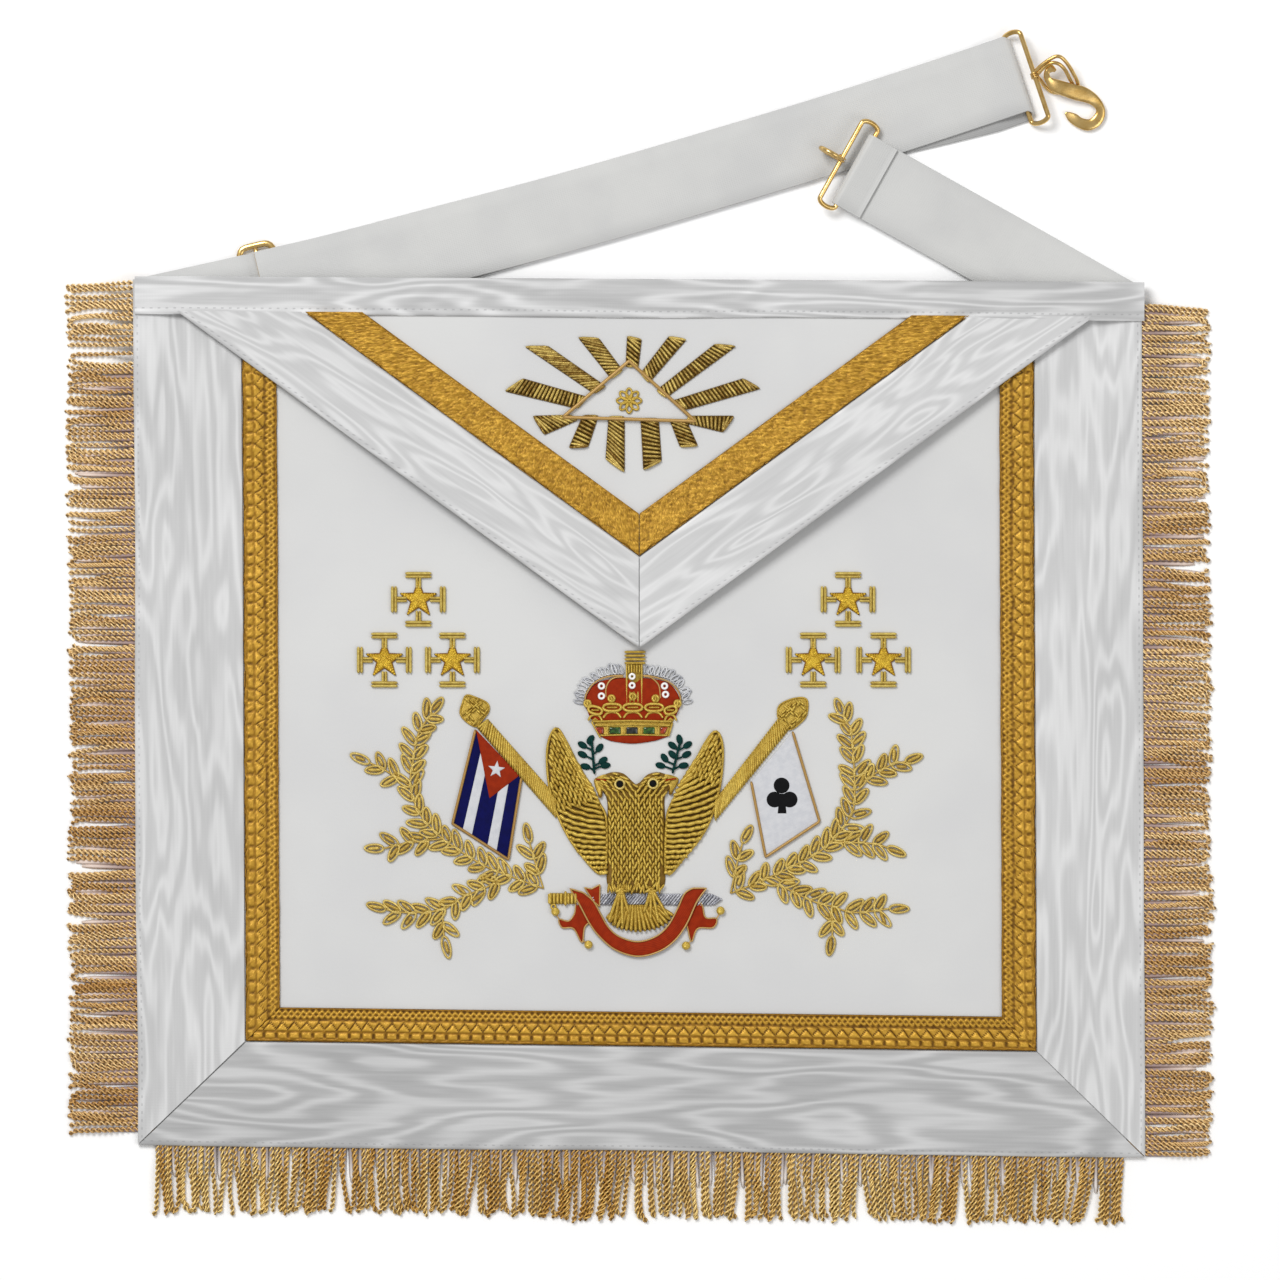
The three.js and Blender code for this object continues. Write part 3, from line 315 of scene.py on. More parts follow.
def satinFinish(name, pale, deep, run=2.6):
    # Satin stitch: close parallel threads with a soft sheen along them
    satin = Finish(name, Roughness=0.7, Specular_IOR_Level=0.12)
    across, along, _ = satin.split(satin.strip())
    threads = ((across * 14 + along * run).sine()) * 0.5 + 0.5
    patch = satin.noise(satin.place(), 420, 3)
    colour = satin.mixed(threads * 0.6 + patch.within(0.3, 0.7) * 0.4, srgb(*deep), srgb(*pale))
    return satin.end(Base_Color=colour, Normal=satin.bump(threads, 0.0001, 0.6))


def floorFinish():
    floor = Finish("paleFloor", Roughness=0.9)
    floor.shader.inputs["Base Color"].default_value = (*studio["floor"], 1)
    return floor.end()


# shapes
def outward(points, faces):
    # Six times a closed body's volume, summed over its faces' fans; a negative one is turned round
    total = 0.0
    for group in faces:
        corner = points[group]
        for fan in range(1, group.shape[1] - 1):
            total += np.einsum("ij,ij->i", corner[:, 0], np.cross(corner[:, fan], corner[:, fan + 1])).sum()
    return faces if total > 0 else [group[:, ::-1] for group in faces]


def chunk(points, faces, strip, tint=0.5, deep=0.0):
    count = len(points)
    return {"points": points, "faces": outward(points, faces), "strip": strip,
            "tint": np.broadcast_to(tint, count), "deep": np.broadcast_to(deep, count)}


def addPiece(name, chunks, finish, replaced=(), body="root", crease=None):
    points = np.concatenate([part["points"] for part in chunks])
    starts = np.cumsum([0] + [len(part["points"]) for part in chunks[:-1]])
    groups = [group + start for part, start in zip(chunks, starts) for group in part["faces"]]
    loops = np.concatenate([group.ravel() for group in groups])
    sizes = np.concatenate([np.full(len(group), group.shape[1]) for group in groups])
    mesh = bpy.data.meshes.new(name)
    mesh.vertices.add(len(points))
    mesh.vertices.foreach_set("co", (points * metre).astype(np.float32).ravel())
    mesh.loops.add(len(loops))
    mesh.loops.foreach_set("vertex_index", loops.astype(np.int32))
    mesh.polygons.add(len(sizes))
    mesh.polygons.foreach_set("loop_start", (np.cumsum(sizes) - sizes).astype(np.int32))
    mesh.update(calc_edges=True)
    mesh.polygons.foreach_set("use_smooth", np.ones(len(sizes), bool))
    strip = np.concatenate([part["strip"] for part in chunks])
    layer = mesh.uv_layers.new(name="strip")
    layer.data.foreach_set("uv", strip[loops].astype(np.float32).ravel())
    for key in ("tint", "deep"):
        values = np.concatenate([part[key] for part in chunks]).astype(np.float32)
        mesh.attributes.new(key, "FLOAT", "POINT").data.foreach_set("value", values)
    if crease:
        mesh.set_sharp_from_angle(angle=np.radians(crease))
    for material in finish if isinstance(finish, list) else [finish]:
        mesh.materials.append(material)
    number = np.concatenate([np.full(len(group), part.get("finish", 0))
                             for part in chunks for group in part["faces"]])
    mesh.polygons.foreach_set("material_index", number.astype(np.int32))
    piece = bpy.data.objects.new(name, mesh)
    scene.collection.objects.link(piece)
    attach(piece, body)
    if replaced:
        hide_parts(*replaced)
    return piece


def cells(rows, columns, looped=False):
    # the corner numbers of each cell of a grid, its columns joined into a ring when looped
    index = np.arange(rows * columns).reshape(rows, columns)
    if looped:
        index = np.concatenate([index, index[:, :1]], axis=1)
    return np.stack([index[:-1, :-1], index[:-1, 1:], index[1:, 1:], index[1:, :-1]], -1).reshape(-1, 4)


def rimOf(rows, columns):
    # the corner numbers round a grid's rim
    index = np.arange(rows * columns).reshape(rows, columns)
    return np.concatenate([index[0], index[1:, -1], index[-1, -2::-1], index[-2:0:-1, 0]])


def shell(top, under, strip, tint=0.5, deep=0.0):
    # Cloth between two grids of the same size, with a wall round the rim
    rows, columns = top.shape[:2]
    count = rows * columns
    face, rim = cells(rows, columns), rimOf(rows, columns)
    after = np.roll(rim, -1)
    wall = np.stack([rim + count, after + count, after, rim], -1)
    twice = [np.concatenate([np.broadcast_to(value, (rows, columns)).ravel()] * 2) for value in (tint, deep)]
    strip = strip.reshape(-1, 2)
    points = np.concatenate([top.reshape(-1, 3), under.reshape(-1, 3)])
    faces = np.concatenate([face, face[:, ::-1] + count, wall])
    return chunk(points, [faces], np.concatenate([strip, strip]), *twice)


def slab(top, thickness, strip, tint=0.5, deep=0.0):
    # Cloth of even thickness: a grid and the same grid lowered
    return shell(top, top - thickness * upward, strip, tint, deep)


def plate(top, floor, strip, tint=0.5, deep=0.0):
    # A relief: a fine grid on top, and under it one plain face for each row
    rows, columns = top.shape[:2]
    count = rows * columns
    rim = rimOf(rows, columns)
    lower = top.reshape(-1, 3)[rim].copy()
    lower[:, 2] = floor.ravel()[rim]
    low = np.arange(len(rim)) + count
    wall = np.stack([low, np.roll(low, -1), np.roll(rim, -1), rim], -1)
    head = columns - 1
    right = low[head:head + rows]
    left = np.concatenate([low[:1], low[:-rows:-1][:rows - 1]])
    across = np.stack([left[1:-2], left[2:-1], right[2:-1], right[1:-2]], -1)
    first = np.concatenate([low[:columns], right[1:2], left[1:2]])[None, ::-1]
    last = np.concatenate([right[-2:-1], low[head + rows - 1:head + rows - 1 + columns], left[-2:-1]])
    faces = [np.concatenate([cells(rows, columns), wall, across]), first, last[None, ::-1]]
    values = [np.broadcast_to(value, (rows, columns)).ravel() for value in (tint, deep)]
    strip = strip.reshape(-1, 2)
    return chunk(np.concatenate([top.reshape(-1, 3), lower]), faces,
                 np.concatenate([strip, strip[rim]]), *[np.concatenate([v, v[rim]]) for v in values])


def unit(vectors):
    return vectors / np.maximum(np.linalg.norm(vectors, axis=-1, keepdims=True), 1e-9)


def around(count):
    return 2 * np.pi * np.arange(count) / count


def superRound(value, power):
    # a sine or cosine with its corners filled out
    return np.sign(value) * np.abs(value) ** power


def runs(paths):
    # how far along its path each point of many paths is
    parts = np.linalg.norm(np.diff(paths, axis=1), axis=-1)
    return np.concatenate([np.zeros((len(paths), 1)), np.cumsum(parts, axis=1)], axis=1)


def drums(many, rings, sides, looped=False):
    # The faces of many tubes, each of rings joined up: capped at both ends, or end to start when looped
    face = cells(rings, sides, looped=True)
    first = np.arange(sides)
    last = first + (rings - 1) * sides
    offset = (np.arange(many) * rings * sides)[:, None, None]
    if looped:
        face = np.concatenate([face, np.stack([last, np.roll(last, -1), np.roll(first, -1), first], -1)])
        return [(face[None] + offset).reshape(-1, 4)]
    caps = np.stack([first[::-1], last])
    return [(face[None] + offset).reshape(-1, 4), (caps[None] + offset).reshape(-1, sides)]


def tubes(paths, radius, sides=6, tint=0.5, deep=0.0, looped=False, flat=1.0):
    # Round tubes along many paths at once: a ring of sides round each point, square to the path
    paths = np.asarray(paths, float)
    many, steps = paths.shape[:2]
    shape = (many, steps, sides)
    if looped:
        ahead = unit(np.roll(paths, -1, axis=1) - np.roll(paths, 1, axis=1))
    else:
        ahead = unit(np.gradient(paths, axis=1))
    side = unit(np.cross(upward, ahead))
    up = np.cross(ahead, side)
    radius = np.broadcast_to(radius, (many, steps)).copy()
    if not looped:
        radius[:, [0, -1]] *= 0.55
    turn = around(sides)
    ring = (paths[:, :, None] + radius[..., None, None] * (
        np.cos(turn)[:, None] * side[:, :, None] + flat * np.sin(turn)[:, None] * up[:, :, None]))
    strip = np.stack([np.broadcast_to(turn, shape) / 6, np.broadcast_to(runs(paths)[..., None], shape)], -1)
    spread = [np.broadcast_to(np.reshape(value, (-1, 1, 1)) if np.ndim(value) == 1 else value, shape).ravel()
              for value in (tint, deep)]
    return chunk(ring.reshape(-1, 3), drums(many, steps, sides, looped), strip.reshape(-1, 2), *spread)


def along(points, count, looped=False):
    # count points at even distances along a polyline
    points = np.asarray(points, float)
    if looped:
        points = np.concatenate([points, points[:1]])
    run = np.concatenate([[0], np.cumsum(np.linalg.norm(np.diff(points, axis=0), axis=1))])
    stops = np.linspace(0, run[-1], count, endpoint=not looped)
    return np.stack([np.interp(stops, run, points[:, axis]) for axis in range(points.shape[1])], -1)


def smooth(points, count, looped=False):
    # a Catmull-Rom curve through the points, then count points at even distances along it
    points = np.asarray(points, float)
    if looped:
        p = np.concatenate([points[-1:], points, points[:2]])
    else:
        p = np.concatenate([2 * points[:1] - points[1:2], points, 2 * points[-1:] - points[-2:-1]])
    t = np.linspace(0, 1, 9)[:-1, None, None]
    a, b, c, d = p[:-3], p[1:-2], p[2:-1], p[3:]
    curve = 0.5 * (2 * b + (c - a) * t + (2 * a - 5 * b + 4 * c - d) * t ** 2
                   + (3 * b - a - 3 * c + d) * t ** 3)
    curve = curve.transpose(1, 0, 2).reshape(-1, points.shape[1])
    return along(curve if looped else np.concatenate([curve, points[-1:]]), count, looped)


def ripple(x, y, seed, size):
    # smooth noise from -1 to 1: random heights at the corners of squares of a size, blended
    table = np.random.default_rng(seed).uniform(-1, 1, (64, 64))
    gx, gy = x / size, y / size
    ix, iy = np.floor(gx).astype(int), np.floor(gy).astype(int)
    fx, fy = gx - ix, gy - iy
    fx, fy = fx * fx * (3 - 2 * fx), fy * fy * (3 - 2 * fy)
    low, high = [table[ix % 64, j % 64] * (1 - fx) + table[(ix + 1) % 64, j % 64] * fx for j in (iy, iy + 1)]
    return low * (1 - fy) + high * fy


def step(value, low, high):
    share = np.clip((value - low) / (high - low), 0, 1)
    return share * share * (3 - 2 * share)


# the apron's lines
def sideX(side, inset, y):
    return side * (apron["halfWidth"] - inset) - apron["lean"] * y


def lowY(inset, x):
    return -apron["halfHeight"] + inset - apron["lowTilt"] * x


def topY(inset, x):
    return apron["halfHeight"] - inset - apron["topTilt"] * x


def lift(y):
    # the panel lies on the table below liftStart and on the belt above liftEnd
    share = np.clip((y - stack["liftStart"]) / (stack["liftEnd"] - stack["liftStart"]), 0, 1)
    return stack["topLift"] * (0.6 * share + 0.4 * share * share * (3 - 2 * share))


def flapUnder(y):
    return stack["flapTip"] + stack["flapRise"] * (np.minimum(y, stack["bandEdge"]) - stack["flapTipY"])


def eased(count):
    # shares from 0 to 1, closer together at both ends
    return 0.5 - 0.5 * np.cos(np.pi * np.linspace(0, 1, count))


def sideStrip(side, outer, inner, lowOuter, lowInner, high, columns, rows):
    # x, y and the strip map of an upright strip that ends in a mitre at its foot
    u, v = np.meshgrid(eased(columns), np.linspace(0, 1, rows))
    inset = outer + (inner - outer) * u
    low = lowOuter + (lowInner - lowOuter) * u
    footX = sideX(side, inset, -apron["halfHeight"])
    foot = lowY(low, footX)
    head = topY(high, sideX(side, inset, apron["halfHeight"]))
    y = foot + (head - foot) * v
    return sideX(side, inset, y), y, np.stack([inset - outer, y + 180], -1)


def lowStrip(outer, inner, lowOuter, lowInner, columns, rows, gap=0.3):
    # the same along the lower edge, its rows running from left to right
    u, v = np.meshgrid(eased(columns), np.linspace(0, 1, rows))
    inset = outer + (inner - outer) * u + gap
    low = lowOuter + (lowInner - lowOuter) * u
    left, right = [sideX(side, inset, -apron["halfHeight"]) for side in (-1, 1)]
    x = left + (right - left) * v
    return x, lowY(low, x), np.stack([low - lowOuter, x + 210], -1)


def softEdge(distance, radius, depth):
    # how far a cloth's top falls towards its edge, as a quarter circle
    near = 1 - np.clip(distance / radius, 0, 1)
    return depth * (1 - np.sqrt(1 - near ** 2))


print("tools ready")


# floor
def addFloor():
    size = 6.0
    mesh = bpy.data.meshes.new("floor")
    mesh.from_pydata([(-size, -size, -0.0001), (size, -size, -0.0001), (size, size, -0.0001),
                      (-size, size, -0.0001)], [], [(0, 1, 2, 3)])
    mesh.materials.append(floorFinish())
    floor = bpy.data.objects.new("floor", mesh)
    scene.collection.objects.link(floor)


addFloor()


# leather, borders and waistband
leather = leatherFinish()
panel = {"columns": 42, "rows": 50, "wave": 0.12, "inset": 7.3, "topInset": 1.2}
border = {"width": 43.5, "lowWidth": 42.0, "thickness": 0.9, "cloth": 0.75, "wave": 0.16, "columns": 20,
          "rows": 130}


def addPanel():
    inset = panel["inset"]
    u, v = np.meshgrid(np.linspace(0, 1, panel["columns"]), np.linspace(0, 1, panel["rows"]))
    left = [sideX(-1, inset, edge * apron["halfHeight"]) for edge in (-1, 1)]
    low, high = lowY(inset, left[0] * (1 - 2 * u)), topY(panel["topInset"], left[1] * (1 - 2 * u))
    y = low + (high - low) * v
    x = sideX(-1, inset, y) * (1 - u) + sideX(1, inset, y) * u
    dip = panel["wave"] * (ripple(x, y, 3, 60) - 1)
    top = np.stack([x, y, lift(y) + stack["leather"] + dip], -1)
    piece = addPiece("leatherPanel", [slab(top, stack["leather"], np.stack([x, y], -1))],
                     leather, ["ground_panel"], crease=50)


def ribbonTop(x, y, across, under, width, seed, wave):
    edge = softEdge(across, 1.5, 0.75) + softEdge(width - across, 0.9, 0.3)
    swell = wave * (ripple(x, y, seed, 34) + 0.4 * ripple(x, y, seed + 1, 12) - 1.2)
    return under + border["thickness"] + swell * step(across, 0, 5) - edge


def addBorders():
    for side, label in ((-1, "left"), (1, "right")):
        x, y, strip = sideStrip(side, 0, border["width"], 0.3, border["lowWidth"] + 0.3,
                                panel["topInset"], border["columns"], border["rows"])
        x = x + side * 0.35 * ripple(y, y * 0, 5 + side, 70) * (1 - strip[..., 0] / border["width"])
        z = ribbonTop(x, y, strip[..., 0], lift(y) + stack["onLeather"], border["width"], 8 + side,
                      border["wave"])
        finish = moireFinish(f"moire_{label}", 0, 3.7 + 5 * side, 176 + 2 * side, 225 + 2 * side)
        piece = addPiece(f"ribbonBorder_{label}", [slab(np.stack([x, y, z], -1), border["cloth"], strip)],
                         finish, [f"border_{label}"], crease=60)
    x, y, strip = lowStrip(0, border["width"], 0, border["lowWidth"], border["columns"], border["rows"])
    y = y + 0.35 * ripple(x, x * 0, 31, 80) * (1 - strip[..., 0] / border["lowWidth"])
    z = ribbonTop(x, y, strip[..., 0], stack["onLeather"], border["lowWidth"], 21, border["wave"])
    piece = addPiece("ribbonBorder_bottom", [slab(np.stack([x, y, z], -1), border["cloth"], strip)],
                     moireFinish("moire_bottom", 0, 1.9, 148, 212, size=0.9),
                     ["border_bottom"], crease=60)


band = {"depth": 15.5, "columns": 190, "thickness": 0.9, "cloth": 0.7, "seam": 13.0, "pucker": 0.35}


def addWaistband():
    # A ribbon over the front, rolled over the top edge: its section is walked from the lower edge up
    front = flapUnder(stack["bandEdge"]) + 1.5 + band["thickness"]
    turn = np.linspace(0.3, 1.57, 6)
    down = np.concatenate([np.linspace(band["depth"], 1.2, 22), 0.45 * np.cos(turn), [0, 0]])
    drop = np.concatenate([np.zeros(22), 0.9 - 0.9 * np.cos(turn), [2.6, front - stack["topLift"] - 0.1]])
    u, v = np.meshgrid(np.arange(len(down)), np.linspace(-1, 1, band["columns"]))
    x = v * apron["halfWidth"]
    d, fall = down[u], drop[u]
    across = band["depth"] - d
    seam = np.exp(-((d - band["seam"]) / 0.7) ** 2)
    tug = band["pucker"] * (ripple(x, d * 0, 40, 9) * seam + 0.5 * ripple(x, d * 3, 41, 22) * step(d, 0, 4))
    creases = ripple(x + 1.6 * d, d * 0.4, 46, 7) * ripple(x, d * 0, 47, 38)
    creases = creases * np.sin(np.pi * d / band["depth"])
    tug = tug + 0.8 * creases
    z = front - fall - 0.25 * seam + (tug - 0.12) * step(d, 0.2, 2) - softEdge(across, 0.8, 0.4)
    z = z - 2.6 * step(np.abs(x), 181, 199) * step(z, 7, 9)
    y = topY(d, x) + 0.3 * ripple(x, x * 0, 44, 60) * step(d, 0, 10)
    top = np.stack([x, y, z], -1)
    inner = top.copy()
    inner[..., 1] -= band["cloth"] * step(fall, 0.3, 1.6)
    inner[..., 2] -= band["cloth"] * (1 - step(fall, 0.3, 2.0))
    finish = moireFinish("moire_band", 0.5, 6.3, 158, 226, band["seam"])
    piece = addPiece("waistbandRibbon", [shell(top, inner, np.stack([d, x + 210], -1))], finish,
                     ["waistband"], crease=60)


addPanel()
addBorders()
addWaistband()
print("leather and ribbons made")


# flap
flap = {"drop": 148.0, "tipWidth": 1.2, "border": 29.6, "braid": 13.8, "gap": 0.3}
flapSlope = flap["drop"] / apron["halfWidth"]
flapAcross = np.hypot(1, flapSlope) / flapSlope
tipX = -apron["lean"] * stack["flapTipY"]


def flapEdgeX(side, inset, y):
    return tipX + side * (flap["tipWidth"] / 2 + (y - stack["flapTipY"]) / flapSlope - inset * flapAcross)


def flapStrip(side, outer, inner, columns, rows):
    # a strip along a slanting edge, from the seam in the middle up to the waistband
    u, v = np.meshgrid(eased(columns), np.linspace(0, 1, rows))
    inset = outer + (inner - outer) * u
    seamX = tipX + side * flap["gap"] / 2
    lowEnd = np.maximum(stack["flapTipY"] + (inset * flapAcross - flap["tipWidth"] / 2) * flapSlope,
                        stack["flapTipY"])
    highX = flapEdgeX(side, inset, stack["bandEdge"])
    highEnd = topY(band["depth"] - 1.5, highX)
    y = lowEnd + (highEnd - lowEnd) * v
    x = np.where(v == 0, seamX, flapEdgeX(side, inset, y))
    x = side * np.maximum(side * x, side * seamX)
    run = (y - stack["flapTipY"]) * np.hypot(1, 1 / flapSlope)
    return x, y, np.stack([inset - outer, run], -1)


def addFlap():
    columns, rows = 42, 42
    u, v = np.meshgrid(np.linspace(0, 1, columns), np.linspace(0, 1, rows) ** 0.8)
    y = stack["flapTipY"] + (stack["bandEdge"] + 11 - stack["flapTipY"]) * v
    left, right = [flapEdgeX(side, 0.4, np.minimum(y, stack["bandEdge"])) for side in (-1, 1)]
    x = left + (right - left) * u
    top = np.stack([x, y, flapUnder(y) + 1.2 + 0.1 * (ripple(x, y, 77, 50) - 1)], -1)
    piece = addPiece("flapLeather", [slab(top, 1.1, np.stack([x, y], -1))], leather,
                     ["flap_panel"], crease=50)
    for side, label in ((-1, "left"), (1, "right")):
        x, y, strip = flapStrip(side, 0, flap["border"], 16, 100)
        z = ribbonTop(x, y, strip[..., 0], flapUnder(y) + stack["onLeather"], flap["border"], 60 + side,
                      0.12)
        finish = moireFinish(f"moire_flap_{label}", 0.2 * side, 8.1 + 2.3 * side, 180 + 3 * side,
                             226 + 3 * side, size=1.3)
        piece = addPiece(f"flapRibbon_{label}", [slab(np.stack([x, y, z], -1), border["cloth"], strip)],
                         finish, [f"flap_border_{label}"], crease=60)


addFlap()


# gold braids
braid = {"width": 13.8, "thickness": 1.4, "period": 4.9, "relief": 0.75, "cell": 0.42, "line": 13.65}


def grooveAt(distance, width):
    return np.exp(-(distance / width) ** 2)


def braidWeave(u, v, crinkle, wander):
    # How deep the weave lies, which also sets the painted shade in its grooves, and its painted highlight, 0
    # to 1, from the distance u to the inner edge and v along the braid: a rope row of two crossing strands, a
    # zigzag row with bright triangles, a plain row and a row of squares, with a groove between rows. crinkle
    # is the share of small curls in it and wander how far its lines stray.
    u = u + wander * (ripple(u, v, 90, 1.7) + 0.6 * ripple(u, v, 91, 7))
    turn = v / braid["period"] + 0.35 * wander * ripple(u, v, 92, 5)
    share = turn % 1
    swing = 1.2 * np.sin(2 * np.pi * turn)
    inRope = step(u, 0.4, 0.8) * (1 - step(u, 4.8, 5.1))
    strand = np.maximum(grooveAt(u - 2.75 - swing, 0.62), grooveAt(u - 2.75 + swing, 0.62))
    strand = strand * (0.88 + 0.12 * np.cos(2 * np.pi * (turn * 5 + u * 0.7)))
    depth, strandHighlight = inRope * 0.8 * (1 - strand) ** 2, inRope * strand
    line = 5.8 + 3.0 * np.abs(share - 0.5) * 2
    inZigzag = step(u, 5.4, 5.7) * (1 - step(u, 8.9, 9.2))
    onLine = grooveAt(u - line, 0.42)
    depth = np.maximum(depth, inZigzag * onLine)
    strandHighlight = np.maximum(strandHighlight, inZigzag * (1 - onLine) * np.where(u > line, 1.0, 0.65))
    depth = np.maximum(depth, 0.8 * grooveAt(u - 5.25, 0.28))
    depth = np.maximum(depth, 0.35 * step(u, 9.1, 9.3) * (1 - step(u, 9.9, 10.2)))
    inSquares = step(u, 10.0, 10.4) * (1 - step(u, 11.9, 12.4))
    gap = step(np.abs(share - 0.5), 0.3, 0.44)
    depth = np.maximum(depth, inSquares * 0.7 * gap)
    strandHighlight = np.maximum(strandHighlight, inSquares * (1 - gap) * (0.7 + 0.3 * ripple(u, v, 94, 1.1)))
    depth = np.maximum(depth, 0.6 * grooveAt(u - 12.5, 0.2) * step(ripple(u * 0, v, 93, 1.6), -0.5, 0.2))
    worm = np.minimum(np.abs(ripple(u, v, 95, 0.95)), np.abs(ripple(u + 30, v, 96, 1.25)))
    curl = step(ripple(u, v, 99, 0.95), 0.0, 0.6)
    depth = depth * (1 - crinkle) + crinkle * 0.5 * grooveAt(worm, 0.13)
    strandHighlight = strandHighlight * (1 - crinkle) + crinkle * (0.3 + 0.7 * curl)
    rim = np.maximum(0.9 * grooveAt(u - braid["line"], 0.22), 0.6 * grooveAt(u - 0.1, 0.2))
    return np.maximum(depth, rim), np.clip(strandHighlight, 0, 1)


def braidPiece(name, replaced, x, y, strip, under, crinkle, wander):
    # the strip map counts from the outer edge and the weave from the inner one
    deep, strandHighlight = braidWeave(braid["width"] - strip[..., 0], strip[..., 1], crinkle, wander)
    crumb = 0.12 * ripple(x, y, 97, 1.1)
    edge = softEdge(strip[..., 0], 0.6, 0.5) + softEdge(braid["width"] - strip[..., 0], 0.6, 0.5)
    z = under + braid["thickness"] - braid["relief"] * deep + 0.25 * strandHighlight + crumb - edge - 0.2
    top = np.stack([x, y, z], -1)
    # tint carries the painted highlight of the raised strands, and deep the painted shade in the grooves
    shape = plate(top, under, strip, strandHighlight, np.clip(deep + 0.15 * ripple(x, y, 98, 0.9), 0, 1))
    piece = addPiece(name, [shape], braidGold, [replaced])
    length = float(strip[..., 1].max() - strip[..., 1].min())


braidGold = braidFinish()


def addBraids():
    gap, width = 0.3, braid["width"]
    start, low, flapStart = border["width"] + gap, border["lowWidth"] + gap, flap["border"] + gap
    columns = int(width / braid["cell"]) + 3
    for side, label in ((-1, "left"), (1, "right")):
        x, y, strip = sideStrip(side, start, start + width, low, low + width, 31, columns, 640)
        wobble = 0.12 * ripple(y, y * 0, 70 + side, 6)
        braidPiece(f"goldBraid_{label}", f"braid_{label}", x + wobble, y, strip,
                   lift(y) + stack["onLeather"], 0.25, 0.4)
        x, y, strip = flapStrip(side, flapStart, flapStart + width, columns, 480)
        braidPiece(f"flapBraid_{label}", f"flap_braid_{label}", x, y, strip,
                   flapUnder(y) + stack["onLeather"], 0.9, 0.3)
    x, y, strip = lowStrip(start, start + width, low, low + width, columns, 700, -0.12)
    braidPiece("goldBraid_bottom", "braid_bottom", x, y, strip, lift(y) + stack["onLeather"], 0.0, 0.14)


addBraids()
print("braids made")


# fringe of twisted cord
fringe = {"length": 27.0, "spacing": 1.9, "pitch": 4.7, "steps": 44, "underSpacing": 2.1, "underRadius": 0.95}


def twisted(paths, size, phase, tint):
    # Two plies wound round each other: a figure of eight that turns as it goes along the path
    many, steps = paths.shape[:2]
    ahead = unit(np.gradient(paths, axis=1))
    side = unit(np.cross(upward, ahead))
    up = np.cross(ahead, side)
    run = runs(paths)
    turn = 2 * np.pi * run / fringe["pitch"] + phase[:, None]
    section = np.array([(1.55, 0.62), (0, 0.4), (-1.55, 0.62), (-1.55, -0.62), (0, -0.4), (1.55, -0.62)])
    cos, sin = np.cos(turn)[..., None], np.sin(turn)[..., None]
    a = section[:, 0] * cos - section[:, 1] * sin
    b = section[:, 0] * sin + section[:, 1] * cos
    thick = np.broadcast_to(size[:, None, None], (many, steps, 1)).copy()
    thick[:, -1] *= 0.35
    thick[:, 0] *= 0.5
    ring = paths[:, :, None] + thick[..., None] * (a[..., None] * side[:, :, None]
                                                   + b[..., None] * up[:, :, None])
    strip = np.stack([np.broadcast_to(np.arange(6) / 6.0, a.shape),
                      np.broadcast_to(run[..., None], a.shape)], -1)
    # painted shade in the groove between the two plies
    groove = np.broadcast_to(np.array([0, 1, 0, 0, 1, 0.0]), a.shape)
    hue = np.broadcast_to(tint[:, None, None], a.shape)
    return chunk(ring.reshape(-1, 3), drums(many, steps, 6), strip.reshape(-1, 2), hue.ravel(),
                 groove.ravel())


def underRow(length, edge, share, seed, start=0.0):
    # a lower row of plain cords that lies in the shade of the first, a share of its length long; their colour
    # is painted shade, darkest near the root
    pick = np.random.default_rng(seed)
    count = int((length - start) / fringe["underSpacing"])
    root = start + (np.arange(count) + 0.5) / count * (length - start)
    t = np.linspace(0, 1, 7)
    reach = fringe["length"] * share * (1 + 0.05 * pick.normal(0, 1, count))
    out = -3 + (reach[:, None] + 3) * t
    x, y = edge(root[:, None] + pick.normal(0, 0.9, count)[:, None] * t, out)
    z = (lift(y) + 0.55) * (1 - step(out, 1, 12)) + 0.5 * step(out, 1, 12)
    shade = 1 - step(t, 0.2, 1.0)
    return tubes(np.stack([x, y, z], -1), fringe["underRadius"], 4, 0.5, shade[None, :, None], flat=0.5)


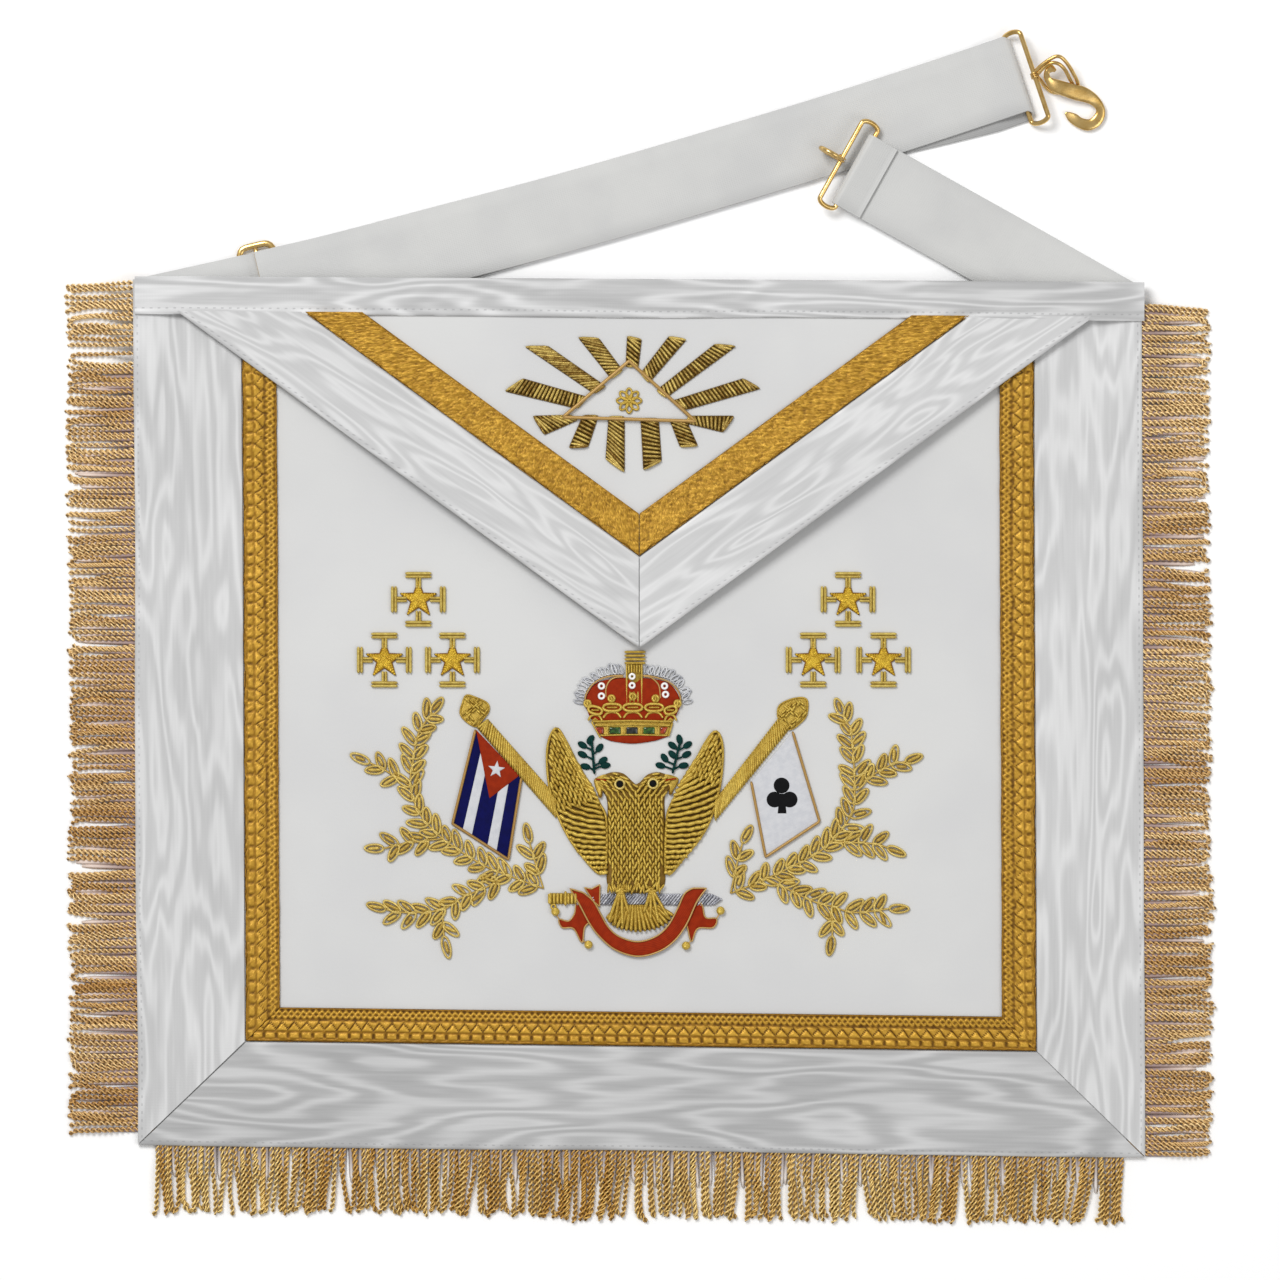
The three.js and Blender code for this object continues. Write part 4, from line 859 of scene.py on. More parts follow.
def fringeRow(name, replaced, length, edge, finish, seed, loose, under, thin=None, pale=0.0, bare=0.0):
    # Cords from under the border: each leans with its clump, and the clumps part towards the tips.
    # edge gives x and y from the distance along the apron's outline and the distance out of it, loose
    # says how far the clumps part and under how long the lower row is. thin leaves cords out, pale
    # lightens the first 60 mm, and the lower row starts after bare.
    pick = np.random.default_rng(seed)
    count = int(length / fringe["spacing"])
    root = (np.arange(count) + 0.5) / count * length + pick.uniform(-0.4, 0.4, count)
    if thin is not None:
        root = root[thin(root, pick)]
        count = len(root)
    cuts = np.cumsum(pick.integers(5, 19, 60))
    member = np.searchsorted(cuts, np.arange(count), side="right")
    centre = np.array([root[member == clump].mean() if (member == clump).any() else 0
                       for clump in range(member.max() + 1)])
    lean = loose * pick.normal(0, 1.3, len(centre))
    pull = loose * pick.uniform(0.04, 0.2, len(centre))
    uneven = 0.03 * pick.normal(0, 1, count) + 0.04 * ripple(root, root * 0, seed, 35)
    reach = fringe["length"] * (1 + (0.4 + 0.6 * loose) * uneven)
    t = np.linspace(0, 1, fringe["steps"])
    aside = lean[member] + (centre[member] - root) * pull[member] + pick.normal(0, 0.7, count)
    lateral = aside[:, None] * t ** 1.4
    bend = (pick.normal(0, 0.7, count)[:, None] * np.sin(np.pi * t)
            + pick.normal(0, 0.35, count)[:, None] * np.sin(2 * np.pi * t))
    out = -3 + (reach[:, None] + 3) * t
    curl = pick.normal(0, 1.1, count)[:, None] * step(t, 0.9, 1.0)
    x, y = edge(root[:, None] + lateral + bend + curl, out)
    layer = pick.uniform(0, 1.0, count)[:, None]
    rest = 0.95 + layer * np.sin(np.pi * np.clip(t * 1.05, 0, 1)) ** 0.8
    z = (lift(y) + 0.75) * (1 - step(out, 1, 12)) + rest * step(out, 1, 12)
    size = pick.uniform(0.56, 0.66, count)
    paths = np.stack([x, y, z], -1)
    tint = 0.5 + 0.3 * ripple(root, root * 0, seed + 9, 24) + pick.normal(0, 0.22, count)
    tint = tint + pale * (1 - step(root, 25, 60))
    cords = twisted(paths, size, pick.uniform(0, 2 * np.pi, count), np.clip(tint, 0, 1))
    below = underRow(length, edge, under, seed + 40, bare)
    addPiece(name, [cords, headerTape(length, edge), {**below, "finish": 1}], finish,
             [replaced])


def headerTape(length, edge):
    # the woven tape that holds the cords, under the border's edge
    s, out = np.meshgrid(np.linspace(0, length, 60), np.linspace(-7, -1.2, 4))
    x, y = edge(s, out)
    return slab(np.stack([x, y, lift(y) + 1.1], -1), 0.9, np.stack([out, s], -1), 0.3, 0.5)


def addFringes():
    # the lower rows' finishes are painted shade: greyed cord colours, darker where deep is high
    shade = cordFinish("fringeShade", ((232, 214, 202), (232, 214, 202)), (158, 134, 130), 0.0, 0.7)
    paleShade = cordFinish("fringePaleShade", ((236, 230, 226), (236, 230, 226)), (160, 148, 146), 0.0, 0.7)
    sideCord = [cordFinish("fringeSide", ((202, 154, 84), (252, 218, 156)), (116, 80, 40)), shade]
    lowCord = [cordFinish("fringeLow", ((208, 158, 68), (252, 220, 140)), (98, 62, 18)), paleShade]
    half = apron["halfWidth"]
    leftTop, rightTop = topY(1.2, -half), topY(9, half)
    leftEnd, rightEnd = lowY(5, -half), lowY(0.3, half)

    def leftEdge(s, out):
        y = leftTop - s
        return sideX(-1, -out, y), y

    def rightEdge(s, out):
        y = rightTop - s
        return sideX(1, -out, y), y

    start = -half + 7.6

    def lowEdge(s, out):
        x = start + s
        return x, lowY(-out, x)

    def sparse(root, pick):
        return (pick.uniform(0, 1, len(root)) < 0.72) | (root > 34)

    fringeRow("cordFringe_left", "fringe_left", leftTop - leftEnd, leftEdge, sideCord, 5, 0.55, 0.86, sparse,
              0.5, 36.0)
    fringeRow("cordFringe_right", "fringe_right", rightTop - rightEnd, rightEdge, sideCord, 6, 0.55, 0.86,
              pale=0.6)
    fringeRow("cordFringe_bottom", "fringe_bottom", 2 * half - 15.2, lowEdge, lowCord, 7, 1.0, 0.5)


addFringes()
print("fringes made")


# The emblem and the hook are drawn on a chart of squares, its middle on the panel's middle.
square = 0.403


def chart(points):
    return np.asarray(points, float) * square


# belt of webbing
belt = {"width": 31.5, "thickness": 1.1, "loop": 1.85, "drift": 3.8, "longStart": (-195.857, 161.196),
        "longLength": 363.0, "longTurn": (12.5, 18.8), "shortStart": (192.0, 160.3),
        "shortLength": 122.8, "shortTurn": 150.8, "longAxis": 2.4, "shortAxis": 5.2, "fold": 16.0}


def longCourse(run):
    # a point and heading on a slow arc, at a distance along it
    first, last = np.radians(belt["longTurn"])
    angle = first + (last - first) * run / belt["longLength"]
    radius = belt["longLength"] / (last - first)
    x = belt["longStart"][0] + radius * (np.sin(angle) - np.sin(first))
    y = belt["longStart"][1] - radius * (np.cos(angle) - np.cos(first))
    return np.stack([x, y, 0 * x], -1), np.stack([np.cos(angle), np.sin(angle), 0 * x], -1)


def shortCourse(run):
    run = np.asarray(run, float)
    angle = np.radians(belt["shortTurn"]) + 0 * run
    x = belt["shortStart"][0] + run * np.cos(angle)
    y = belt["shortStart"][1] + run * np.sin(angle)
    return np.stack([x, y, 0 * x], -1), np.stack([np.cos(angle), np.sin(angle), 0 * x], -1)


def foldRound(end, axis, drift):
    # half a turn of the webbing round the frame's wire
    turn = np.radians(np.linspace(0, 180, 9))
    middle = end - belt["loop"] - belt["thickness"] / 2
    return [(middle + belt["loop"] * np.sin(t), axis - belt["loop"] * np.cos(t), drift * (1 - t / np.pi))
            for t in turn]


def strapPiece(name, replaced, course, stations):
    # Webbing along stations of distance, height and drift: a flat section carried along their curve
    line = np.array(stations, float)
    run = np.concatenate([[0], np.cumsum(np.hypot(np.diff(line[:, 0]), np.diff(line[:, 1])))])
    fine = np.unique(np.concatenate([np.linspace(0, run[-1], 130), run]))
    place, height, drift = [np.interp(fine, run, line[:, k]) for k in range(3)]
    ease = np.ones(5) / 5
    for _ in range(2):
        inner = np.convolve(height, ease, "same")
        sharp = np.gradient(place, fine) < 0.9
        height[3:-3] = np.where(sharp[3:-3], height[3:-3], inner[3:-3])
    slopeA, slopeH = np.gradient(place, fine), np.gradient(height, fine)
    size = np.hypot(slopeA, slopeH)
    slopeA, slopeH = slopeA / size, slopeH / size
    point, heading = course(place)
    across = np.stack([-heading[:, 1], heading[:, 0], 0 * place], -1)
    half, thick = belt["width"] / 2, belt["thickness"] / 2
    share = np.array([-1, -0.985, -0.6, -0.2, 0.2, 0.6, 0.985, 1])
    lip = np.array([0.55, 1, 1, 1, 1, 1, 1, 0.55])
    section = np.concatenate([np.stack([share, lip], -1), np.stack([share, -lip], -1)[::-1]])
    middle = point + across * (drift + 0.25 * ripple(fine, fine * 0, 121, 55))[:, None]
    middle[:, 2] = height
    normal = -slopeH[:, None] * heading
    normal[:, 2] += slopeA
    ring = (middle[:, None] + across[:, None] * (section[:, :1] * half)
            + normal[:, None] * (section[:, 1:] * thick))
    count, sides = ring.shape[:2]
    strip = np.stack([np.broadcast_to(section[:, 0] * half, (count, sides)),
                      np.broadcast_to(fine[:, None], (count, sides))], -1)
    # deep marks the webbing that lies low, under the upper layer, for its painted shade
    shape = chunk(ring.reshape(-1, 3), drums(1, count, sides), strip.reshape(-1, 2),
                  deep=np.repeat(1 - step(height, 0.8, 1.8), sides))
    piece = addPiece(name, [shape], webbingGrey, [replaced], crease=50)


webbingGrey = webbingFinish()
slide = {"along": 37.5, "length": 17.5, "width": 39.0, "wire": 1.25, "barWire": 1.1, "thickness": 1.2}


def addBelts():
    low, raised, upper = 0.55, stack["topLift"] - 0.3 - 0.55, 1.95
    firstBar, middleBar = slide["along"], slide["along"] + 7.5
    lastEnd, length = slide["along"] + slide["length"], belt["longLength"]
    start = length - belt["fold"]
    strapPiece("longBelt", "belt_long", longCourse, [
        (0, raised, 0), (firstBar - 2.5, raised, 0), (firstBar + 3.1, raised - 0.1, 0),
        (middleBar - 0.6, low, 0), (middleBar + 6, low, 0), (0.4 * length, low, 0), (0.6 * length, low, 0),
        (0.83 * length, low, 0), (start, low, -belt["drift"]),
        *foldRound(length, belt["longAxis"], -belt["drift"]),
        (start + 9.6, 4.0, 0), (start, 2.1, 0), (0.8 * length, upper, 0), (0.6 * length, upper, 0),
        (0.4 * length, upper, 0), (lastEnd + 10, upper, 0), (lastEnd + 0.8, raised, 0),
        (middleBar + 0.4, raised, 0)])
    length = belt["shortLength"]
    floor = 2.8 + 0.55
    strapPiece("shortBelt", "belt_short", shortCourse, [
        (0, raised, 0), (0.2 * length, raised, 0), (0.4 * length, 0.62 * raised, 0), (0.6 * length, 2.5, 0),
        (0.8 * length, floor, 0), (length - 8, floor, 0), *foldRound(length, belt["shortAxis"], 0),
        (length - 5.8, 6.1, 0), (length - 11, floor + 1.42, 0), (length - 13, floor + 1.4, 0)])


def addSlide():
    # an oval wire loop with a middle bar, in the belt's own direction
    point, heading = longCourse(np.array(slide["along"] + slide["length"] / 2))
    across = np.array([-heading[1], heading[0], 0])
    a, b = slide["length"] / 2 - slide["wire"], slide["width"] / 2 - slide["wire"]
    turn = np.linspace(0, 2 * np.pi, 65)[:-1]
    loop = np.stack([a * superRound(np.cos(turn), 0.35), b * superRound(np.sin(turn), 0.35)], -1)
    rim = along(loop, 72, looped=True)
    level = point + upward * (belt["thickness"] + 0.3 + slide["thickness"] / 2)
    outer = level + rim[:, :1] * heading + rim[:, 1:] * across
    middle = level + np.linspace(-b, b, 12)[:, None] * across
    shapes = [tubes(outer[None], slide["wire"], 12, looped=True, flat=0.48),
              tubes(middle[None], slide["barWire"], 10, flat=0.5)]
    addPiece("beltSlide", shapes, goldMetal, ["belt_slide"])


# hook and eye
goldMetal = metalFinish()
fittings = {"wire": 1.0, "hookDepth": 8.5, "hookTilt": 35, "hookShift": -2.9, "hookKnot": -0.4,
            "eyeDepth": 8.0, "eyeTilt": 25, "eyeShift": -0.9, "eyeKnot": -0.3, "eyeRing": 4.7,
            "overhang": 4.3, "slack": 1.5}


def setting(course, length, axis, tilt, shift):
    point, heading = course(np.array(length - belt["loop"] - belt["thickness"] / 2))
    across = np.array([-heading[1], heading[0], 0])
    outward = heading * np.cos(np.radians(tilt)) + upward * np.sin(np.radians(tilt))
    return {"centre": point + upward * axis + across * shift, "heading": heading, "across": across,
            "outward": outward}


def frameLoop(place, depth, knot):
    # the bar in the fold, two half-round ends and the free side, closed on itself
    half = belt["width"] / 2 + fittings["slack"]
    reach = fittings["overhang"] - fittings["slack"] - fittings["wire"]
    turn = np.linspace(-np.pi / 2, np.pi / 2, 15)
    side = half + reach * np.cos(turn)
    deep = depth / 2 * (1 + np.sin(turn))
    a = np.concatenate([side, [knot], -side[::-1], [0]])
    d = np.concatenate([deep, [depth], deep[::-1], [0]])
    line = place["centre"] + a[:, None] * place["across"] + d[:, None] * place["outward"]
    return along(line, 150, looped=True)


def knotAt(place, depth, knot):
    return place["centre"] + depth * place["outward"] + knot * place["across"]


def ringLoop(centre, first, second, radius, steps=64):
    turn = around(steps)
    return centre + radius * (np.cos(turn)[:, None] * first + np.sin(turn)[:, None] * second)


def wireTube(line, radius, sides=14, looped=True):
    # a tube round a line in any direction, its rings turned as little as may be
    ahead = unit(np.roll(line, -1, 0) - np.roll(line, 1, 0)) if looped else unit(np.gradient(line, axis=0))
    side = np.empty_like(ahead)
    side[0] = unit(np.cross(ahead[0], [0.31, 0.2, 0.93]))
    for k in range(1, len(line)):
        side[k] = unit(side[k - 1] - ahead[k] * np.dot(side[k - 1], ahead[k]))
    if looped:
        twist = np.arctan2(np.dot(np.cross(side[-1], side[0]), ahead[0]), np.dot(side[-1], side[0]))
        turn = twist * np.arange(len(line)) / len(line)
        side = side * np.cos(turn)[:, None] + np.cross(ahead, side) * np.sin(turn)[:, None]
    up = np.cross(ahead, side)
    angle = around(sides)
    ring = line[:, None] + radius * (
        np.cos(angle)[:, None] * side[:, None] + np.sin(angle)[:, None] * up[:, None])
    run = np.arange(len(line)) * np.linalg.norm(line[1] - line[0])
    shape = (len(line), sides)
    strip = np.stack([np.broadcast_to(angle, shape), np.broadcast_to(run[:, None], shape)], -1)
    return chunk(ring.reshape(-1, 3), drums(1, *shape, looped), strip.reshape(-1, 2))


hookPlace = setting(longCourse, belt["longLength"], belt["longAxis"], fittings["hookTilt"],
                    fittings["hookShift"])
eyePlace = setting(shortCourse, belt["shortLength"], belt["shortAxis"], fittings["eyeTilt"],
                   fittings["eyeShift"])


def windings(place, depth, knot, turns=3.2):
    # fine wire wound round the free side where the ring is held
    turn = np.linspace(0, 2 * np.pi * turns, 40)
    centre = knotAt(place, depth, knot)
    lean = np.cross(place["across"], place["outward"])
    line = (centre + (turn / turn[-1] - 0.5)[:, None] * 2.6 * place["across"]
            + 1.35 * (np.cos(turn)[:, None] * place["outward"] + np.sin(turn)[:, None] * lean))
    return wireTube(line, 0.42, 8, looped=False)


# The hook's two edges on the chart, and its height in millimetres, from the curl round the ring to its
# tip; then the ring's wire, which goes out in two strands and comes back under the hook.
hook = {
    "upperEdge": [(413.5, 641), (411, 641.8), (409.3, 640.5), (410, 638.2), (412, 636.5), (420, 634.5),
        (433, 631), (445, 628), (456, 621), (463, 612), (465.5, 604), (464, 595.5), (458, 588),
        (448, 584.5), (438, 587.5), (429, 594), (424.8, 601.6)],
    "lowerEdge": [(417.5, 646), (411.5, 650), (405, 645.5), (403.3, 639.2), (405, 633.5), (410.5, 624.5),
        (421, 619.5), (434, 615), (447, 612), (453, 609), (456.3, 604.5), (454, 599.5), (449, 596),
        (442, 597.5), (437, 601), (431, 603), (426.4, 603.6)],
    "height": [5.4, 6.4, 6.6, 5.9, 5.2, 4.5, 4.0, 3.3, 2.6, 2.0, 1.7, 1.5, 1.4, 1.4, 1.4, 1.4, 1.4],
    "outerWire": [(393.5, 641, 7.3), (400, 648, 8.4), (410, 655, 9.6), (417, 657.5, 10),
        (423, 654.5, 9.4), (430, 646, 7.2), (437, 634, 4.2), (438.5, 629, 1.9)],
    "innerWire": [(396, 639, 7.2), (404, 647, 8.2), (411, 651, 9.2), (418, 650, 9.2), (424, 645, 7.8),
        (429, 637, 5.0), (433, 630, 2.3), (432, 625, 1.3), (422, 622.5, 1.2), (412, 623.5, 1.4),
        (405, 629, 2.4), (400, 635, 4.8), (396, 638.5, 6.8)],
    "thick": 1.0, "wire": 0.78, "knot": 1.25, "steps": 120, "sides": 20}


def onChart(rows):
    # x and y of each row from the chart, and its height as it is
    rows = np.array(rows, float)
    return np.concatenate([chart(rows[:, :2]), rows[:, 2:]], -1)


def addHook():
    frameLine = frameLoop(hookPlace, fittings["hookDepth"], fittings["hookKnot"])
    shapes = [wireTube(frameLine, fittings["wire"]),
              windings(hookPlace, fittings["hookDepth"], fittings["hookKnot"])]
    shapes += [wireTube(smooth(onChart(hook[key]), 80), hook["wire"], 12, looped=False)
               for key in ("outerWire", "innerWire")]
    turn = around(16)
    knot = knotAt(hookPlace, fittings["hookDepth"], fittings["hookKnot"])
    arc = np.linspace(-1.4, 1.4, 9)[:, None]
    ball = np.stack([np.cos(arc) * np.cos(turn), np.cos(arc) * np.sin(turn), np.sin(arc) + 0 * turn], -1)
    shapes.append(chunk((knot + hook["knot"] * ball).reshape(-1, 3), drums(1, 9, 16),
                        ball.reshape(-1, 3)[:, :2]))
    addPiece("hookFrame", shapes, goldMetal, ["hook_frame"], body="hook_fitting")

    # The body is lofted between its edges: middle + half the width * c + thickness * s, where c and s
    # are a circle's cosine and sine with their corners filled out, so that its face is flat
    count, sides = hook["steps"], hook["sides"]
    table = np.concatenate([chart(hook["upperEdge"]), chart(hook["lowerEdge"]),
                            np.array(hook["height"])[:, None]], -1)
    line = smooth(table, count)
    middle = np.concatenate([(line[:, :2] + line[:, 2:4]) / 2, line[:, 4:]], -1)
    half = np.concatenate([(line[:, :2] - line[:, 2:4]) / 2, np.zeros((count, 1))], -1)
    share = np.linspace(0, 1, count)
    thick = hook["thick"] * (0.4 + 0.6 * step(share, 0, 0.12) * (1 - step(share, 0.86, 1)))
    half = half * (0.35 + 0.65 * step(share, -0.02, 0.05))[:, None]
    angle = around(sides)
    wide, high = superRound(np.cos(angle), 0.75), superRound(np.sin(angle), 0.5)
    ring = middle[:, None] + wide[:, None] * half[:, None] + (high * thick[:, None])[..., None] * upward
    strip = np.stack([np.broadcast_to(angle, (count, sides)),
                      np.broadcast_to(share[:, None] * 60, (count, sides))], -1)
    shape = chunk(ring.reshape(-1, 3), drums(1, count, sides), strip.reshape(-1, 2))
    addPiece("snakeHook", [shape], goldMetal, ["snake_hook"], body="hook_fitting")


def addEye():
    frameLine = frameLoop(eyePlace, fittings["eyeDepth"], fittings["eyeKnot"])
    centre = knotAt(eyePlace, fittings["eyeDepth"], fittings["eyeKnot"])
    centre = centre + eyePlace["heading"] * fittings["eyeRing"]
    ring = ringLoop(centre, eyePlace["heading"], upward, fittings["eyeRing"], 48)
    shapes = [wireTube(frameLine, fittings["wire"]), wireTube(ring, 0.95, 12),
              windings(eyePlace, fittings["eyeDepth"], fittings["eyeKnot"], 2.4)]
    addPiece("eyeFrame", shapes, goldMetal, ["eye_frame"], body="eye_fitting")


addBelts()
addSlide()
addHook()
addEye()
print("belt and fittings made")


# embroidery tools
foot = stack["onLeather"] - 0.25
goldPurl = purlFinish("goldPurl", (240, 208, 96), (176, 138, 38), 0.5, 0.34)
deepPurl = purlFinish("deepPurl", (138, 102, 18), (88, 60, 4), 0.4, 0.5)
frillPurl = purlFinish("frillPurl", (255, 255, 255), (176, 178, 186), 0.2, 0.35)
sunPurl = purlFinish("sunPurl", (250, 220, 122), (122, 84, 2), 0.5, 0.3)
starPurl = purlFinish("starPurl", (250, 212, 66), (178, 132, 8), 0.5, 0.3)
fineCord = cordFinish("edgeCord", ((160, 122, 60), (196, 160, 96)), (110, 80, 36), 0.35, 0.4)
bodyPurl = purlFinish("bodyPurl", (156, 118, 26), (112, 80, 10), 0.4, 0.5)
silverPurl = purlFinish("silverPurl", (244, 244, 250), (92, 96, 112), 0.5, 0.3)
redSatin = satinFinish("redSatin", (158, 46, 8), (124, 30, 3))
greenSilk = satinFinish("greenSilk", (4, 58, 54), (1, 36, 34))
blueSatin = satinFinish("blueSatin", (5, 9, 84), (2, 3, 54))
whiteSatin = satinFinish("whiteSatin", (214, 214, 216), (190, 192, 198))
blackSatin = satinFinish("blackSatin", (18, 18, 20), (6, 6, 8))
pearlBead = Finish("pearlBead", Roughness=0.25)
pearlBead.shader.inputs["Coat Weight"].default_value = 0.5
pearlCloud = pearlBead.noise(pearlBead.place(), 900, 2)
pearlWhite = pearlBead.end(Base_Color=pearlBead.mixed(pearlCloud, srgb(232, 230, 228), srgb(250, 248, 246)))


def stoneFinish(name, colour, deep):
    stone = Finish(name, Roughness=0.2, Specular_IOR_Level=0.3)
    stone.shader.inputs["Coat Weight"].default_value = 0.6
    cloud = stone.noise(stone.place(), 800, 2).within(0.35, 0.65)
    return stone.end(Base_Color=stone.mixed(cloud, srgb(*deep), srgb(*colour)))


greenStone = stoneFinish("greenStone", (50, 96, 30), (16, 44, 10))
blackStone = stoneFinish("blackStone", (44, 44, 42), (10, 14, 10))
redStone = stoneFinish("redStone", (170, 60, 20), (110, 26, 8))


def raised(points, height):
    # x, y points at a height over the leather
    points = np.asarray(points, float)
    height = np.broadcast_to(height, points.shape[:-1])
    return np.concatenate([points, (foot + height)[..., None]], -1)


def pad(edgeA, edgeB, height, rows=24, columns=10, base=0.0):
    # padding under bullion: a rounded back between two edges
    a, b = along(edgeA, rows), along(edgeB, rows)
    u = eased(columns)
    flat = a[:, None] * (1 - u)[None, :, None] + b[:, None] * u[None, :, None]
    back = np.sqrt(np.clip(1 - (2 * u - 1) ** 2, 0, 1))
    ends = np.sqrt(np.clip(1 - np.linspace(-1, 1, rows) ** 8, 0, 1))
    z = base + 0.15 + height * back[None] * ends[:, None]
    strip = np.stack([np.broadcast_to(u * 4, z.shape),
                      np.broadcast_to(np.linspace(0, 40, rows)[:, None], z.shape)], -1)
    return plate(raised(flat, z), np.full(z.shape, foot + base), strip, 0.4, 0.3)


def bead(centre, radius, height, flat=0.8, rows=7, sides=12):
    # a small ball on the leather
    lat = np.linspace(-np.pi / 2, np.pi / 2, rows + 2)[1:-1]
    lon = around(sides)
    x = centre[0] + radius * np.cos(lat)[:, None] * np.cos(lon)
    y = centre[1] + radius * np.cos(lat)[:, None] * np.sin(lon)
    z = foot + height + radius * flat * (1 + np.sin(lat)[:, None]) + 0 * lon
    points = np.stack([x, y, z], -1).reshape(-1, 3)
    return chunk(points, drums(1, rows, sides), points[:, :2], 0.8)


def loops(centre, angle, length, width, radius, height, tint, steps=20):
    # closed purl loops, such as a leaf's rim: a pointed oval, its point away from the root
    turn = around(steps)
    u = 0.5 - 0.5 * np.cos(turn)
    v = 0.5 * np.sin(turn) * (1 - 0.22 * u)
    x = centre[:, :1] + length[:, None] * (u * np.cos(angle)[:, None]) - width * v * np.sin(angle)[:, None]
    y = centre[:, 1:] + length[:, None] * (u * np.sin(angle)[:, None]) + width * v * np.cos(angle)[:, None]
    z = np.broadcast_to(foot + height + radius, x.shape)
    return tubes(np.stack([x, y, z], -1), radius, 5, tint, looped=True)


print("embroidery tools ready")


# embroidery shapes
def sewn(edgeA, edgeB, pitch, slant, radius, low, arch, seed, fall=0.0, steps=6, sides=6, contrast=1.0):
    # Bullion from one edge to the other, laid aslant by a number of places, over a rounded back
    length = (np.linalg.norm(np.diff(edgeA, axis=0), axis=1).sum()
              + np.linalg.norm(np.diff(edgeB, axis=0), axis=1).sum()) / 2
    count = max(int(length / pitch), 3)
    a, b = along(edgeA, count), along(edgeB, count)
    start = np.arange(min(0, -slant), count - min(0, slant))
    first, last = np.clip(start, 0, count - 1), np.clip(start + slant, 0, count - 1)
    t = np.linspace(0, 1, steps)[:, None]
    flat = a[first][:, None] * (1 - t) + b[last][:, None] * t
    z = low + radius + arch * np.sqrt(4 * t[:, 0] * (1 - t[:, 0])) - fall * t[:, 0]
    pick = np.random.default_rng(seed)
    return tubes(raised(flat, z + 0.08 * pick.normal(0, 1, (len(start), 1))), radius, sides,
                 1 - 0.75 * contrast * pick.uniform(0, 1, len(start)) ** (1 / contrast))


def spoke(points, outline):
    # 0 at an outline's middle and 1 on it, along the ray through each point
    centre = outline.mean(0)
    dense = along(outline, 600, looped=True) - centre
    angle = np.arctan2(dense[:, 1], dense[:, 0])
    order = np.argsort(angle)
    away = points - centre
    reach = np.interp(np.arctan2(away[..., 1], away[..., 0]), angle[order],
                      np.hypot(dense[:, 0], dense[:, 1])[order], period=2 * np.pi)
    return np.hypot(away[..., 0], away[..., 1]) / reach


def dome(points, outline, height):
    return height * np.sqrt(1 - np.clip(spoke(points, outline), 0, 1) ** 3)


def cushion(outline, height, turn=0.0, low=0.0, smoothed=True, deep=0.0):
    # a padded shape: rings that shrink towards the middle of an outline and rise as a dome
    rim = np.linalg.norm(np.roll(outline, -1, 0) - outline, axis=1).sum()
    count = int(np.clip(rim / 0.5, 20, 90))
    edge = smooth(outline, count, True) if smoothed else along(outline, count, True)
    centre = edge.mean(0)
    share = np.array([1, 1, 0.985, 0.95, 0.88, 0.75, 0.55, 0.3, 0.08])[:, None]
    level = low + np.where(np.arange(9) == 0, 0, 0.2)[:, None] + height * np.sqrt(1 - share ** 3)
    points = raised(centre + (edge - centre) * share[..., None], level).reshape(-1, 3)
    cos, sin = np.cos(turn), np.sin(turn)
    strip = np.stack([points[:, 0] * cos + points[:, 1] * sin, points[:, 1] * cos - points[:, 0] * sin], -1)
    return chunk(points, drums(1, 9, count), strip, deep=deep)


def scattered(outline, across, length, turn, limit=0.95):
    # middles of chips in staggered rows inside an outline
    cos, sin = np.cos(turn), np.sin(turn)
    reach = np.abs(outline - outline.mean(0)).max() * 1.5
    i, j = np.meshgrid(np.arange(-int(reach / across), int(reach / across) + 1),
                       np.arange(-int(reach / length), int(reach / length) + 1))
    u, v = (i * across).ravel(), ((j + 0.5 * (i % 2)) * length).ravel()
    spots = outline.mean(0) + np.stack([-u * sin + v * cos, u * cos + v * sin], -1)
    return spots[spoke(spots, outline) < limit]


def chipsOn(spots, angle, length, radius, height, seed, bow=0.25, steps=5):
    # short cuts of bullion at their middles, each at its own angle and a little arched
    pick = np.random.default_rng(seed)
    angle = np.broadcast_to(angle, len(spots)) + 0.12 * pick.normal(0, 1, len(spots))
    t = np.linspace(-0.5, 0.5, steps)
    reach = length * (1 + 0.1 * pick.normal(0, 1, len(spots)))[:, None] * t
    x = spots[:, :1] + np.cos(angle)[:, None] * reach
    y = spots[:, 1:] + np.sin(angle)[:, None] * reach
    z = (np.broadcast_to(height, len(spots)) + 0.07 * pick.normal(0, 1, len(spots)))[:, None]
    z = z + radius + bow * (1 - (2 * t) ** 2)
    return tubes(raised(np.stack([x, y], -1), z), radius, 6, pick.uniform(0.2, 1, len(spots)))


def cordAlong(line, radius, height, steps=48, looped=False, tint=0.6, smoothed=True, sides=7):
    # one cord laid along a line
    course = smooth if smoothed else along
    path = raised(course(line, steps, looped), height + radius)
    return tubes(path[None], radius, sides, tint, looped=looped)


def rings(centres, radius, wire, height, steps=16, tint=0.8):
    turn = around(steps)
    circle = np.stack([np.cos(turn), np.sin(turn)], -1) * radius
    return tubes(raised(centres[:, None] + circle, height + wire), wire, 6, tint, looped=True)


def dyed(number, *shapes):
    # these shapes take the piece's finish of that number
    return [{**shape, "finish": number} for shape in shapes]


def atop(shapes):
    # raised from the panel to the flap, which slopes
    for shape in shapes:
        shape["points"][:, 2] += flapUnder(shape["points"][:, 1])
    return shapes


